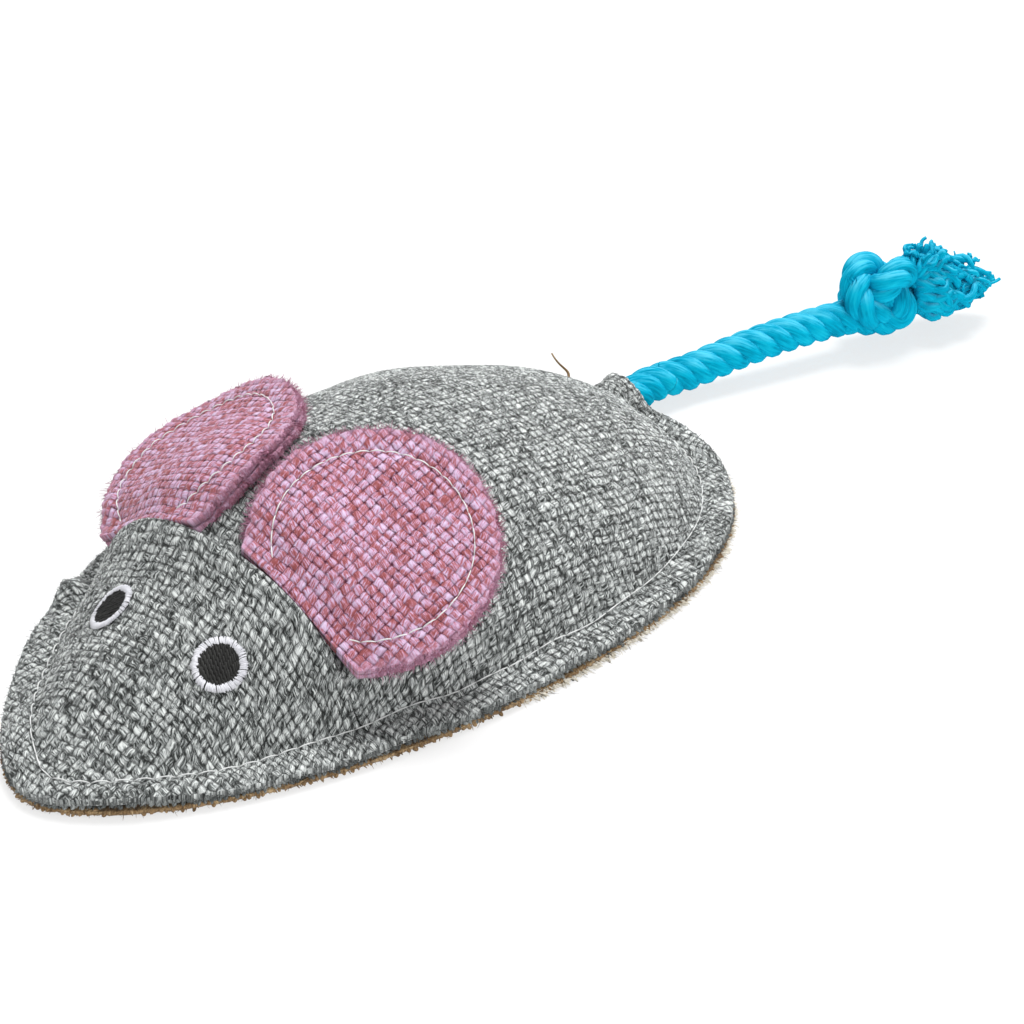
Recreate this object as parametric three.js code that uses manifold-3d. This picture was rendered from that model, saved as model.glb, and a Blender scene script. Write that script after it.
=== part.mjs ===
// Catnip mouse: a stuffed cloth mouse with a flat belly, an open sewn edge, two ears and a knotted rope tail.
// Millimetres, +Z up. The nose points to -Y, the tail to +Y, the mouse's left side is +X, the belly lies on z = 0.
import * as THREE from 'three';
import { mergeVertices } from 'three/addons/utils/BufferGeometryUtils.js';
import Module from 'manifold-3d';

const wasm = await Module();
wasm.setup();

// Clearance between pieces that touch on the real toy
const GAP = 0.3;

// Plan of the body, a teardrop drawn with two curves a side
const NOSE_Y = -70;
const RUMP_Y = 70;
const HALF_WIDTH = 41.7;
const WIDEST_Y = 21;
const NOSE_ROUND = 17.4;
const FLANK_SWEEP = 49.6;
const HAUNCH_SWEEP = 29.5;
const RUMP_FLAT = 26.3;

// Cloth layers and the flat edge that stays outside the seam
const BELLY_THICKNESS = 1.2;
const BELLY_MARGIN = 0.5;
const PANEL_THICKNESS = 1.4;
const STITCH_INSET = 5;
const STITCH_TO_WALL = 1.1;

// Crown of the stuffed body along the middle, heights above the flat edge
const CROWN_Y = -8;
const CROWN_HEIGHT = 27.3;
const MUZZLE_RUN = 17.5;
const MUZZLE_RISE = 4.5;
const BROW_RUN = 24;
const BACK_RUN = 17;
const RUMP_RUN = 4.5;
const RUMP_RISE = 16.5;
const CROSS_POWER = 1.9;
const FACE_FULLNESS = 0.55;
const BACK_FULLNESS = 0.57;
const FULLNESS_CHANGE = 45;

// Seam between the face and the back
const NECK_Y = -30.4;
const NECK_BOW = 2;
const NECK_GAP = 0.4;

// Filling
const STUFFING_CLEARANCE = 0.8;
const STUFFING_EDGE_INSET = 1.2;
const STUFFING_EDGE_HEIGHT = 0.5;
const CATNIP_RADIUS = 15;
const CATNIP_HEIGHT = 8;
const CATNIP_Y = 14;

// Ears
const EAR_RADIUS = 19;
const EAR_CENTRE_RISE = 12.9;
const EAR_THICKNESS = 1.3;
const EAR_X = 16.5;
const EAR_BEHIND_NECK = 2;
const EAR_DROOP = THREE.MathUtils.degToRad(25);
const EAR_TILT = THREE.MathUtils.degToRad(22);
const EAR_SEAT = 0.4;
const EAR_DRAPE = 3;
const EAR_STITCH_INSET = 4;

// Eyes
const EYE_X = 11.1;
const EYE_Y = -41.2;
const PUPIL_RADIUS = 3.1;
const PUPIL_HEIGHT = 0.9;
const EYE_RING_WIDTH = 1.05;
const EYE_RING_HEIGHT = 0.7;

// Sewing thread
const THREAD_RADIUS = 0.45;
const THREAD_LIFT = 0.35;
const EDGE_STITCH_PITCH = 3;
const EAR_STITCH_PITCH = 2.3;

// Rope tail
const ROPE_RADIUS = 3.1;
const STUB_LENGTH = 7.2;
const ARCH_RUN = 8;
const TAIL_ROOT_LENGTH = 10;
const TAIL_HEADING = THREE.MathUtils.degToRad(16);
const KNOT_HEADING = THREE.MathUtils.degToRad(22);
const KNOT_X = 18;
const KNOT_Y = 121;
const KNOT_WRAP_RADIUS = 5.2;
const KNOT_WRAP_OFFSET = 1.5;
const KNOT_CROSS = THREE.MathUtils.degToRad(28);
const KNOT_HALF_LENGTH = 8.5;
const FRAY_WHIPPING = 4;
const FRAY_LENGTH = 17;
const FRAY_STRANDS = 9;
const FRAY_SPREAD = THREE.MathUtils.degToRad(13);

// Facets
const HALF_COLUMNS = 36;
const ARCH_COLUMNS = 6;
const DOME_STEPS = [0.035, 0.09, 0.17, 0.28, 0.42, 0.58, 0.78, 1];
const SPINE_Y = 5;
const SPINE_SHARE = 0.75;
const STUFFING_STEPS = [0.1, 0.3, 0.6, 1];
const TABLE_STEPS = 300;
const EAR_ARC_STEPS = 40;
const EAR_BASE_STEPS = 10;
const EYE_STEPS = 20;
const ROPE_SIDES = 12;
const THREAD_SIDES = 6;

// Sizes that follow from the ones above
const FLANGE_BOTTOM = BELLY_THICKNESS + GAP;
const FLANGE_TOP = FLANGE_BOTTOM + PANEL_THICKNESS;
const WALL_INSET = STITCH_INSET + STITCH_TO_WALL;
const ROPE_Z = FLANGE_BOTTOM + ROPE_RADIUS;
const ARCH_HEIGHT = 2 * ROPE_RADIUS + 2 * GAP;
const ARCH_HALF_WIDTH = ROPE_RADIUS + 4.5 * GAP;
const KNOT_Z = KNOT_WRAP_RADIUS + ROPE_RADIUS + 0.1;

const GREY = new THREE.MeshStandardMaterial({ color: 0x959998, roughness: 0.95, metalness: 0 });
const PINK = new THREE.MeshStandardMaterial({ color: 0xbd8da3, roughness: 0.95, metalness: 0 });
const JUTE = new THREE.MeshStandardMaterial({ color: 0x8f6f45, roughness: 1, metalness: 0 });
const ROPE = new THREE.MeshStandardMaterial({ color: 0x03a9cb, roughness: 0.7, metalness: 0 });
const THREAD = new THREE.MeshStandardMaterial({ color: 0xf0efec, roughness: 0.6, metalness: 0 });
const BLACK = new THREE.MeshStandardMaterial({ color: 0x161616, roughness: 0.5, metalness: 0 });
const FIBRE = new THREE.MeshStandardMaterial({ color: 0xf2f0ea, roughness: 1, metalness: 0 });
const HERB = new THREE.MeshStandardMaterial({ color: 0x6b7a3c, roughness: 1, metalness: 0 });

const mouse = new THREE.Group();

function addPiece(name, geometry, material) {
  const mesh = new THREE.Mesh(geometry, material);
  mesh.name = name;
  mouse.add(mesh);
  return mesh;
}

// Solids from meshes and back
function toSolid(geometry) {
  const bare = geometry.clone();
  bare.deleteAttribute('normal');
  bare.deleteAttribute('uv');
  const merged = mergeVertices(bare, 1e-4);
  const vertProperties = Float32Array.from(merged.attributes.position.array);
  const triVerts = Uint32Array.from(merged.index.array);
  return new wasm.Manifold(new wasm.Mesh({ numProp: 3, vertProperties, triVerts }));
}

function fromSolid(solid) {
  const mesh = solid.getMesh();
  const geometry = new THREE.BufferGeometry();
  geometry.setAttribute('position', new THREE.BufferAttribute(mesh.vertProperties, 3));
  geometry.setIndex(new THREE.BufferAttribute(mesh.triVerts, 1));
  geometry.computeVertexNormals();
  return geometry;
}

function fromTriangles(points, triangles) {
  const geometry = new THREE.BufferGeometry();
  geometry.setFromPoints(points);
  geometry.setIndex(triangles);
  const merged = mergeVertices(geometry, 1e-4);
  const index = merged.index.array;
  const kept = [];
  for (let i = 0; i < index.length; i += 3) {
    const [a, b, c] = [index[i], index[i + 1], index[i + 2]];
    if (a !== b && b !== c && c !== a) kept.push(a, b, c);
  }
  merged.setIndex(kept);
  merged.computeVertexNormals();
  return merged;
}

// A layer between two stacks of closed rings, the first ring outermost and the last one drawn together
function ringSolid(top, bottom) {
  const columns = top[0].length;
  const count = top.length * columns;
  const points = [...top.flat(), ...bottom.flat()];
  const triangles = [];
  for (let c = 0; c < columns; c += 1) {
    const next = (c + 1) % columns;
    for (let r = 0; r + 1 < top.length; r += 1) {
      const [a, b] = [r * columns + c, r * columns + next];
      const [d, e] = [a + columns, b + columns];
      triangles.push(a, b, e, a, e, d);
      triangles.push(count + a, count + e, count + b, count + a, count + d, count + e);
    }
    triangles.push(count + c, count + next, next, count + c, next, c);
  }
  return fromTriangles(points, triangles);
}

// A ring whose section is closed on itself: the first row is inner bottom, then outer bottom, outer top, inner top
function loopSolid(rows) {
  const columns = rows[0].length;
  const triangles = [];
  for (let r = 0; r < rows.length; r += 1) {
    for (let c = 0; c < columns; c += 1) {
      const [a, b] = [r * columns + c, r * columns + ((c + 1) % columns)];
      const up = ((r + 1) % rows.length) * columns;
      const [d, e] = [up + c, up + ((c + 1) % columns)];
      triangles.push(a, b, e, a, e, d);
    }
  }
  return fromTriangles(rows.flat(), triangles);
}

function mirrored(rows) {
  return rows.map((row) => row.map((p) => new THREE.Vector3(-p.x, p.y, p.z)).reverse());
}

// Plan outline
function halfOutline() {
  const widest = new THREE.Vector2(HALF_WIDTH, WIDEST_Y);
  const path = new THREE.CurvePath();
  path.add(new THREE.CubicBezierCurve(
    new THREE.Vector2(0, NOSE_Y),
    new THREE.Vector2(NOSE_ROUND, NOSE_Y),
    new THREE.Vector2(HALF_WIDTH, WIDEST_Y - FLANK_SWEEP),
    widest,
  ));
  path.add(new THREE.CubicBezierCurve(
    widest,
    new THREE.Vector2(HALF_WIDTH, WIDEST_Y + HAUNCH_SWEEP),
    new THREE.Vector2(RUMP_FLAT, RUMP_Y),
    new THREE.Vector2(0, RUMP_Y),
  ));
  return path;
}

const OUTLINE = halfOutline();
const OUTLINE_LENGTH = OUTLINE.getLength();

function outlinePoint(t, inset) {
  const point = OUTLINE.getPoint(t);
  const tangent = OUTLINE.getTangent(t);
  if (t === 0 || t === 1) {
    return new THREE.Vector2(0, point.y + inset * (t === 0 ? 1 : -1));
  }
  return new THREE.Vector2(point.x - tangent.y * inset, point.y + tangent.x * inset);
}

// Positions along one side, closer together over the rope at the rear
function sidePositions() {
  const dense = (2 * ARCH_HALF_WIDTH) / OUTLINE_LENGTH;
  const positions = [];
  for (let i = 0; i < HALF_COLUMNS; i += 1) positions.push((i / HALF_COLUMNS) * (1 - dense));
  for (let i = 0; i <= ARCH_COLUMNS; i += 1) positions.push(1 - dense + (i / ARCH_COLUMNS) * dense);
  return positions;
}

const SIDE_POSITIONS = sidePositions();

function outlineRing(inset) {
  const left = SIDE_POSITIONS.map((t) => outlinePoint(t, inset));
  const right = left.slice(1, -1).reverse().map((p) => new THREE.Vector2(-p.x, p.y));
  return [...left, ...right];
}

function towardsSpine(ring, share) {
  return ring.map((p) => {
    const spine = new THREE.Vector2(0, SPINE_Y + (p.y - SPINE_Y) * SPINE_SHARE);
    return p.clone().lerp(spine, share);
  });
}

// Value of the second coordinate where the first, growing along the points, reaches a given place
function lookUp(points, place) {
  if (place <= points[0].x) return points[0].y;
  for (let i = 1; i < points.length; i += 1) {
    if (place <= points[i].x) {
      const share = (place - points[i - 1].x) / (points[i].x - points[i - 1].x);
      return THREE.MathUtils.lerp(points[i - 1].y, points[i].y, share);
    }
  }
  return points[points.length - 1].y;
}

function wallTable() {
  const points = [];
  for (let i = 0; i <= TABLE_STEPS; i += 1) {
    const p = outlinePoint(i / TABLE_STEPS, WALL_INSET);
    points.push(new THREE.Vector2(p.y, Math.max(p.x, 0)));
  }
  return points;
}

function crownTable() {
  const nose = new THREE.Vector2(NOSE_Y + WALL_INSET, 0);
  const crown = new THREE.Vector2(CROWN_Y, CROWN_HEIGHT);
  const rump = new THREE.Vector2(RUMP_Y - WALL_INSET, 0);
  const front = new THREE.CubicBezierCurve(
    nose,
    new THREE.Vector2(nose.x + MUZZLE_RUN, MUZZLE_RISE),
    new THREE.Vector2(CROWN_Y - BROW_RUN, CROWN_HEIGHT),
    crown,
  );
  const rear = new THREE.CubicBezierCurve(
    crown,
    new THREE.Vector2(CROWN_Y + BACK_RUN, CROWN_HEIGHT),
    new THREE.Vector2(rump.x - RUMP_RUN, RUMP_RISE),
    rump,
  );
  return [...front.getPoints(TABLE_STEPS), ...rear.getPoints(TABLE_STEPS).slice(1)];
}

const WALL = wallTable();
const CROWN = crownTable();

// Height of the stuffed form above the flat edge, with its side walls drawn in by a given amount
function domeHeight(x, y, drawIn) {
  const halfWidth = lookUp(WALL, y) - drawIn;
  if (halfWidth <= 0 || Math.abs(x) >= halfWidth) return 0;
  const change = THREE.MathUtils.smoothstep(y, NECK_Y, NECK_Y + FULLNESS_CHANGE);
  const power = THREE.MathUtils.lerp(FACE_FULLNESS, BACK_FULLNESS, change);
  return lookUp(CROWN, y) * (1 - (Math.abs(x) / halfWidth) ** CROSS_POWER) ** power;
}

// The cloth arches over the rope where the tail is sewn in
function archHeight(x, y) {
  const wall = RUMP_Y - WALL_INSET;
  const ramp = THREE.MathUtils.smoothstep(y, wall - ARCH_RUN, wall);
  return ARCH_HEIGHT * Math.exp(-((x / ARCH_HALF_WIDTH) ** 4)) * ramp;
}

function outerZ(x, y) {
  return FLANGE_TOP + Math.max(domeHeight(x, y, 0), archHeight(x, y));
}

function innerZ(x, y) {
  return FLANGE_BOTTOM + Math.max(domeHeight(x, y, PANEL_THICKNESS), archHeight(x, y));
}

function raise(ring, height) {
  return ring.map((p) => new THREE.Vector3(p.x, p.y, height(p.x, p.y)));
}

// Belly cloth
function bellyPanel() {
  const shape = new THREE.Shape(outlineRing(-BELLY_MARGIN));
  return new THREE.ExtrudeGeometry(shape, { depth: BELLY_THICKNESS, bevelEnabled: false });
}

// Upper cloth, cut at the neck into face and back
function upperShell() {
  const wall = outlineRing(WALL_INSET);
  const rings = [outlineRing(0), outlineRing(WALL_INSET / 2), wall];
  DOME_STEPS.forEach((share) => rings.push(towardsSpine(wall, share)));
  const top = rings.map((ring) => raise(ring, outerZ));
  const bottom = rings.map((ring) => raise(ring, innerZ));
  return toSolid(ringSolid(top, bottom));
}

function neckY(x) {
  return NECK_Y + NECK_BOW * (x / HALF_WIDTH) ** 2;
}

function aheadOfNeck(shift) {
  const side = 2 * HALF_WIDTH;
  const front = 2 * NOSE_Y;
  const shape = new THREE.Shape();
  shape.moveTo(-side, front);
  shape.lineTo(side, front);
  shape.lineTo(side, neckY(side) + shift);
  shape.quadraticCurveTo(0, 2 * (NECK_Y + shift) - (neckY(side) + shift), -side, neckY(side) + shift);
  const depth = 3 * CROWN_HEIGHT;
  const prism = new THREE.ExtrudeGeometry(shape, { depth, bevelEnabled: false, curveSegments: 24 });
  return toSolid(prism.translate(0, 0, -CROWN_HEIGHT));
}

// Filling
function catnipProfile(radius, height) {
  const shape = new THREE.Path();
  shape.moveTo(0, 0);
  shape.lineTo(0.8 * radius, 0);
  shape.bezierCurveTo(1.07 * radius, 0, 1.07 * radius, 0.55 * height, 0.75 * radius, 0.8 * height);
  shape.quadraticCurveTo(0.4 * radius, height, 0, height);
  return shape.getPoints(6);
}

function catnipPad(margin) {
  const profile = catnipProfile(CATNIP_RADIUS + margin, CATNIP_HEIGHT + margin);
  const pad = new THREE.LatheGeometry(profile, 20);
  return pad.rotateX(Math.PI / 2).translate(0, CATNIP_Y, FLANGE_BOTTOM);
}

function stuffing() {
  const fine = outlineRing(WALL_INSET + PANEL_THICKNESS + STUFFING_EDGE_INSET);
  const edge = fine.filter((p, i) => i % 2 === 0);
  const rings = [edge, ...STUFFING_STEPS.map((share) => towardsSpine(edge, share))];
  const drawIn = PANEL_THICKNESS + STUFFING_EDGE_INSET;
  const height = (x, y) => {
    const room = domeHeight(x, y, drawIn) - STUFFING_CLEARANCE;
    return FLANGE_BOTTOM + Math.max(room, STUFFING_EDGE_HEIGHT);
  };
  const top = rings.map((ring) => raise(ring, height));
  const bottom = rings.map((ring) => raise(ring, () => FLANGE_BOTTOM));
  const pocket = catnipPad(2 * GAP).translate(0, 0, -GAP);
  return fromSolid(toSolid(ringSolid(top, bottom)).subtract(toSolid(pocket)));
}

// Frame of the left ear: across its base, along its length and out of its face
const EAR_Y = NECK_Y + EAR_BEHIND_NECK;
const EAR_FOOT = new THREE.Vector3(EAR_X, EAR_Y, outerZ(EAR_X, EAR_Y));
const EAR_ACROSS = new THREE.Vector3(Math.cos(EAR_DROOP), 0, -Math.sin(EAR_DROOP));
const EAR_ALONG = new THREE.Vector3(0, Math.cos(EAR_TILT), Math.sin(EAR_TILT));
EAR_ALONG.addScaledVector(EAR_ACROSS, -EAR_ALONG.dot(EAR_ACROSS)).normalize();
const EAR_FACE = new THREE.Vector3().crossVectors(EAR_ACROSS, EAR_ALONG);

function earPoint(u, v, height) {
  const p = EAR_FOOT.clone().addScaledVector(EAR_ACROSS, u).addScaledVector(EAR_ALONG, v);
  return p.addScaledVector(EAR_FACE, height);
}

// Height over the ear's plane at which the cloth clears the body
function earClear(u, v) {
  let height = 0;
  for (let i = 0; i < 6; i += 1) {
    const p = earPoint(u, v, height);
    height += (outerZ(p.x, p.y) + EAR_SEAT - p.z) * EAR_FACE.z;
  }
  return height;
}

// The ear is sewn on along the round of the neck and flattens towards its tip
function earHeight(u, v) {
  const length = EAR_RADIUS + EAR_CENTRE_RISE;
  const share = THREE.MathUtils.clamp(1 - v / length, 0, 1);
  const drop = Math.min(earClear(u, 0), 0);
  const drape = -EAR_DRAPE * (1 - Math.exp(drop / EAR_DRAPE));
  return Math.max(drape * share ** 1.5, earClear(u, v));
}

function earOutline() {
  const start = -Math.asin(EAR_CENTRE_RISE / EAR_RADIUS);
  const sweep = Math.PI - 2 * start;
  const points = [];
  for (let i = 0; i < EAR_ARC_STEPS; i += 1) {
    const angle = start + (sweep * i) / EAR_ARC_STEPS;
    points.push(new THREE.Vector2(Math.cos(angle), Math.sin(angle)).multiplyScalar(EAR_RADIUS));
  }
  const half = EAR_RADIUS * Math.cos(start);
  for (let i = 0; i < EAR_BASE_STEPS; i += 1) {
    points.push(new THREE.Vector2(-half + (2 * half * i) / EAR_BASE_STEPS, -EAR_CENTRE_RISE));
  }
  return points;
}

function earLayer(level) {
  const outline = earOutline();
  const rings = [1, 0.85, 0.65, 0.45, 0.25, 0].map((size) => outline.map((p) => p.clone().multiplyScalar(size)));
  const place = (p, lift) => {
    const v = p.y + EAR_CENTRE_RISE;
    return earPoint(p.x, v, earHeight(p.x, v) + lift);
  };
  const top = rings.map((ring) => ring.map((p) => place(p, level + EAR_THICKNESS)));
  const bottom = rings.map((ring) => ring.map((p) => place(p, level)));
  return { top, bottom };
}

const EAR_FRONT_LEVEL = EAR_THICKNESS + GAP;

// Sewing thread: one strand that rises and dips once a stitch
function threadAlong(points) {
  const curve = new THREE.CatmullRomCurve3(points);
  curve.arcLengthDivisions = 8 * points.length;
  const section = new THREE.Shape();
  section.absarc(0, 0, THREAD_RADIUS, 0, 2 * Math.PI);
  const steps = points.length - 1;
  const curveSegments = THREAD_SIDES / 2;
  return new THREE.ExtrudeGeometry(section, { steps, curveSegments, extrudePath: curve, bevelEnabled: false });
}

function stitchLift(i) {
  return GAP + THREAD_RADIUS + (i % 2 === 0 ? 0 : THREAD_LIFT);
}

function edgeStitching() {
  const ends = (3 * ARCH_HALF_WIDTH) / OUTLINE_LENGTH;
  const count = 2 * Math.round((2 * OUTLINE_LENGTH * (1 - ends)) / EDGE_STITCH_PITCH);
  const points = [];
  for (let i = 0; i <= count; i += 1) {
    const along = (2 * i) / count - 1;
    const p = outlinePoint((1 - ends) * Math.abs(along), STITCH_INSET);
    points.push(new THREE.Vector3(p.x * Math.sign(along), p.y, FLANGE_TOP + stitchLift(i)));
  }
  return threadAlong(points);
}

function earStitchPoints() {
  const radius = EAR_RADIUS - EAR_STITCH_INSET;
  const start = -Math.asin((EAR_CENTRE_RISE - 2 * EAR_STITCH_INSET) / radius);
  const sweep = Math.PI - 2 * start;
  const count = 2 * Math.round((sweep * radius) / EAR_STITCH_PITCH);
  const points = [];
  for (let i = 0; i <= count; i += 1) {
    const angle = start + (sweep * i) / count;
    const u = radius * Math.cos(angle);
    const v = EAR_CENTRE_RISE + radius * Math.sin(angle);
    const lift = EAR_FRONT_LEVEL + EAR_THICKNESS + GAP + stitchLift(i);
    points.push(earPoint(u, v, earHeight(u, v) + lift));
  }
  return points;
}

// Eyes follow the round of the face
function eyeFrame() {
  const step = 0.5;
  const slopeX = (outerZ(EYE_X + step, EYE_Y) - outerZ(EYE_X - step, EYE_Y)) / (2 * step);
  const slopeY = (outerZ(EYE_X, EYE_Y + step) - outerZ(EYE_X, EYE_Y - step)) / (2 * step);
  const normal = new THREE.Vector3(-slopeX, -slopeY, 1).normalize();
  const across = new THREE.Vector3(1, 0, slopeX).normalize();
  const along = new THREE.Vector3().crossVectors(normal, across);
  return { normal, across, along, centre: new THREE.Vector3(EYE_X, EYE_Y, outerZ(EYE_X, EYE_Y)) };
}

const EYE = eyeFrame();

function eyeRing(radius, height) {
  const points = [];
  for (let i = 0; i < EYE_STEPS; i += 1) {
    const angle = (2 * Math.PI * i) / EYE_STEPS;
    const p = EYE.centre.clone().addScaledVector(EYE.across, radius * Math.cos(angle));
    p.addScaledVector(EYE.along, radius * Math.sin(angle));
    for (let k = 0; k < 4; k += 1) {
      p.addScaledVector(EYE.normal, (outerZ(p.x, p.y) - p.z) * EYE.normal.z);
    }
    points.push(p.addScaledVector(EYE.normal, height));
  }
  return points;
}

function pupilRings() {
  const shares = [1, 0.85, 0.55, 0];
  const top = shares.map((s) => eyeRing(s * PUPIL_RADIUS, 2 * GAP + PUPIL_HEIGHT * Math.sqrt(1 - s * s)));
  const bottom = shares.map((s) => eyeRing(s * PUPIL_RADIUS, GAP));
  return { top, bottom };
}

function eyeRingRows() {
  const inner = PUPIL_RADIUS + GAP;
  const outer = inner + EYE_RING_WIDTH;
  const crest = (inner + outer) / 2;
  const shoulder = GAP + 0.6 * EYE_RING_HEIGHT;
  return [
    eyeRing(inner, GAP),
    eyeRing(inner, shoulder),
    eyeRing(crest, GAP + EYE_RING_HEIGHT),
    eyeRing(outer, shoulder),
    eyeRing(outer, GAP),
  ].reverse();
}

// Tail
const TAIL_PIVOT = new THREE.Vector3(0, RUMP_Y + GAP + ROPE_RADIUS, ROPE_Z);
const TAIL_AXIS = new THREE.Vector3(Math.sin(TAIL_HEADING), Math.cos(TAIL_HEADING), 0);
const LIFT_PIVOT = TAIL_PIVOT.clone().addScaledVector(TAIL_AXIS, TAIL_ROOT_LENGTH);
const KNOT = new THREE.Vector3(KNOT_X, KNOT_Y, KNOT_Z);
const KNOT_AXIS = new THREE.Vector3(Math.sin(KNOT_HEADING), Math.cos(KNOT_HEADING), 0);

function ropeBall(centre) {
  const ball = new THREE.SphereGeometry(ROPE_RADIUS, ROPE_SIDES, ROPE_SIDES / 2);
  return toSolid(ball.translate(centre.x, centre.y, centre.z));
}

function ropeAlong(curve, steps) {
  const section = new THREE.Shape();
  section.absarc(0, 0, ROPE_RADIUS, 0, 2 * Math.PI);
  const curveSegments = ROPE_SIDES / 2;
  return new THREE.ExtrudeGeometry(section, { steps, curveSegments, extrudePath: curve, bevelEnabled: false });
}

function tailStub() {
  const stub = new THREE.CylinderGeometry(ROPE_RADIUS, ROPE_RADIUS, STUB_LENGTH, ROPE_SIDES);
  return stub.translate(0, RUMP_Y - GAP - STUB_LENGTH / 2, ROPE_Z);
}

function tailRoot() {
  const end = TAIL_PIVOT.clone().addScaledVector(TAIL_AXIS, TAIL_ROOT_LENGTH - ROPE_RADIUS - GAP);
  const rope = ropeAlong(new THREE.LineCurve3(TAIL_PIVOT, end), 1);
  return fromSolid(ropeBall(TAIL_PIVOT).add(toSolid(rope)));
}

function tailRope() {
  const end = KNOT.clone().addScaledVector(KNOT_AXIS, -KNOT_HALF_LENGTH - GAP);
  const reach = end.distanceTo(LIFT_PIVOT);
  const bend = end.clone().addScaledVector(KNOT_AXIS, -0.45 * reach);
  const curve = new THREE.QuadraticBezierCurve3(LIFT_PIVOT, bend, end);
  return fromSolid(ropeBall(LIFT_PIVOT).add(toSolid(ropeAlong(curve, 8))));
}

// Two crossing turns round the rope
function tailKnot() {
  const length = 2 * KNOT_HALF_LENGTH;
  let solid = toSolid(new THREE.CylinderGeometry(ROPE_RADIUS, ROPE_RADIUS, length, ROPE_SIDES));
  [1, -1].forEach((side) => {
    const wrap = new THREE.TorusGeometry(KNOT_WRAP_RADIUS, ROPE_RADIUS, 10, 22);
    wrap.rotateX(Math.PI / 2).rotateZ(side * KNOT_CROSS).translate(0, side * KNOT_WRAP_OFFSET, 0);
    solid = solid.add(toSolid(wrap));
  });
  return fromSolid(solid).rotateZ(-KNOT_HEADING).translate(KNOT.x, KNOT.y, KNOT.z);
}

// Opened strands behind the knot
function fraySolid() {
  const whipping = new THREE.CylinderGeometry(ROPE_RADIUS, ROPE_RADIUS, FRAY_WHIPPING, ROPE_SIDES);
  let solid = toSolid(whipping.translate(0, FRAY_WHIPPING / 2, 0));
  const thick = ROPE_RADIUS / 3;
  for (let i = 0; i < FRAY_STRANDS; i += 1) {
    const share = Math.sqrt((i + 0.5) / FRAY_STRANDS);
    const length = FRAY_LENGTH * (1 - 0.25 * share);
    const profile = [[0, 0], [thick, 0], [0.9 * thick, 0.6 * length], [0.4 * thick, length], [0, length]];
    const strand = new THREE.LatheGeometry(profile.map(([r, h]) => new THREE.Vector2(r, h)), 7);
    strand.translate(0, FRAY_WHIPPING / 2, 0).rotateZ(-share * FRAY_SPREAD);
    strand.translate(0.5 * share * ROPE_RADIUS, 0, 0).rotateY(i * Math.PI * (3 - Math.sqrt(5)));
    solid = solid.add(toSolid(strand));
  }
  return solid;
}

function tailFray() {
  const start = KNOT.clone().addScaledVector(KNOT_AXIS, KNOT_HALF_LENGTH + GAP);
  return fromSolid(fraySolid()).rotateZ(-KNOT_HEADING).translate(start.x, start.y, start.z);
}

// Assembly
addPiece('belly_panel', bellyPanel(), JUTE);
const shell = upperShell();
addPiece('face_panel', fromSolid(shell.intersect(aheadOfNeck(-NECK_GAP / 2))), GREY);
addPiece('back_panel', fromSolid(shell.subtract(aheadOfNeck(NECK_GAP / 2))), GREY);
addPiece('stuffing', stuffing(), FIBRE);
addPiece('catnip_filling', catnipPad(0), HERB);
addPiece('edge_stitching', edgeStitching(), THREAD);

const earBack = earLayer(0);
const earFront = earLayer(EAR_FRONT_LEVEL);
const earThread = earStitchPoints();
const earThreadRight = earThread.map((p) => new THREE.Vector3(-p.x, p.y, p.z));
addPiece('ear_left_back', ringSolid(earBack.top, earBack.bottom), PINK);
addPiece('ear_left_front', ringSolid(earFront.top, earFront.bottom), PINK);
addPiece('ear_left_stitching', threadAlong(earThread), THREAD);
addPiece('ear_right_back', ringSolid(mirrored(earBack.top), mirrored(earBack.bottom)), PINK);
addPiece('ear_right_front', ringSolid(mirrored(earFront.top), mirrored(earFront.bottom)), PINK);
addPiece('ear_right_stitching', threadAlong(earThreadRight), THREAD);

const pupil = pupilRings();
const ring = eyeRingRows();
addPiece('eye_left_pupil', ringSolid(pupil.top, pupil.bottom), BLACK);
addPiece('eye_left_ring', loopSolid(ring), THREAD);
addPiece('eye_right_pupil', ringSolid(mirrored(pupil.top), mirrored(pupil.bottom)), BLACK);
addPiece('eye_right_ring', loopSolid(mirrored(ring)), THREAD);

addPiece('tail_stub', tailStub(), ROPE);
addPiece('tail_root', tailRoot(), ROPE);
addPiece('tail_rope', tailRope(), ROPE);
addPiece('tail_knot', tailKnot(), ROPE);
addPiece('tail_fray', tailFray(), ROPE);

export default mouse;
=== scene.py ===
"""Catnip mouse: woven cloth body, sewn ears, satin stitch eyes and a knotted rope tail."""

import math

import bpy
import numpy as np
from mathutils import Matrix, Vector


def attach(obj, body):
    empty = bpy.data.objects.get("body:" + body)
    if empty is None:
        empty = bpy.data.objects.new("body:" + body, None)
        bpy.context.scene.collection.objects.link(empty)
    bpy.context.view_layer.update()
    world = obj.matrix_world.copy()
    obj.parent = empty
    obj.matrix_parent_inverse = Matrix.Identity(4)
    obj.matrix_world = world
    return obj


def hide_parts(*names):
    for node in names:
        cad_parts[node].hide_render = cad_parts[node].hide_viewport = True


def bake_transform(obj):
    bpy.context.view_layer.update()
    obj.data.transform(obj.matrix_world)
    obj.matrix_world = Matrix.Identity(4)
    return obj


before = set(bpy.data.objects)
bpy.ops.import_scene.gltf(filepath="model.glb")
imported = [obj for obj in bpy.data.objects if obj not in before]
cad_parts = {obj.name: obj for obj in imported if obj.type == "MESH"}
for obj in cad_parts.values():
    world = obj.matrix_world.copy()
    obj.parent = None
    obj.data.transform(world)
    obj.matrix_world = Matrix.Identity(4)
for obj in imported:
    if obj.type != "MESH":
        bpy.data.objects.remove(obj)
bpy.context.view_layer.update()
MM = 0.001

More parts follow.
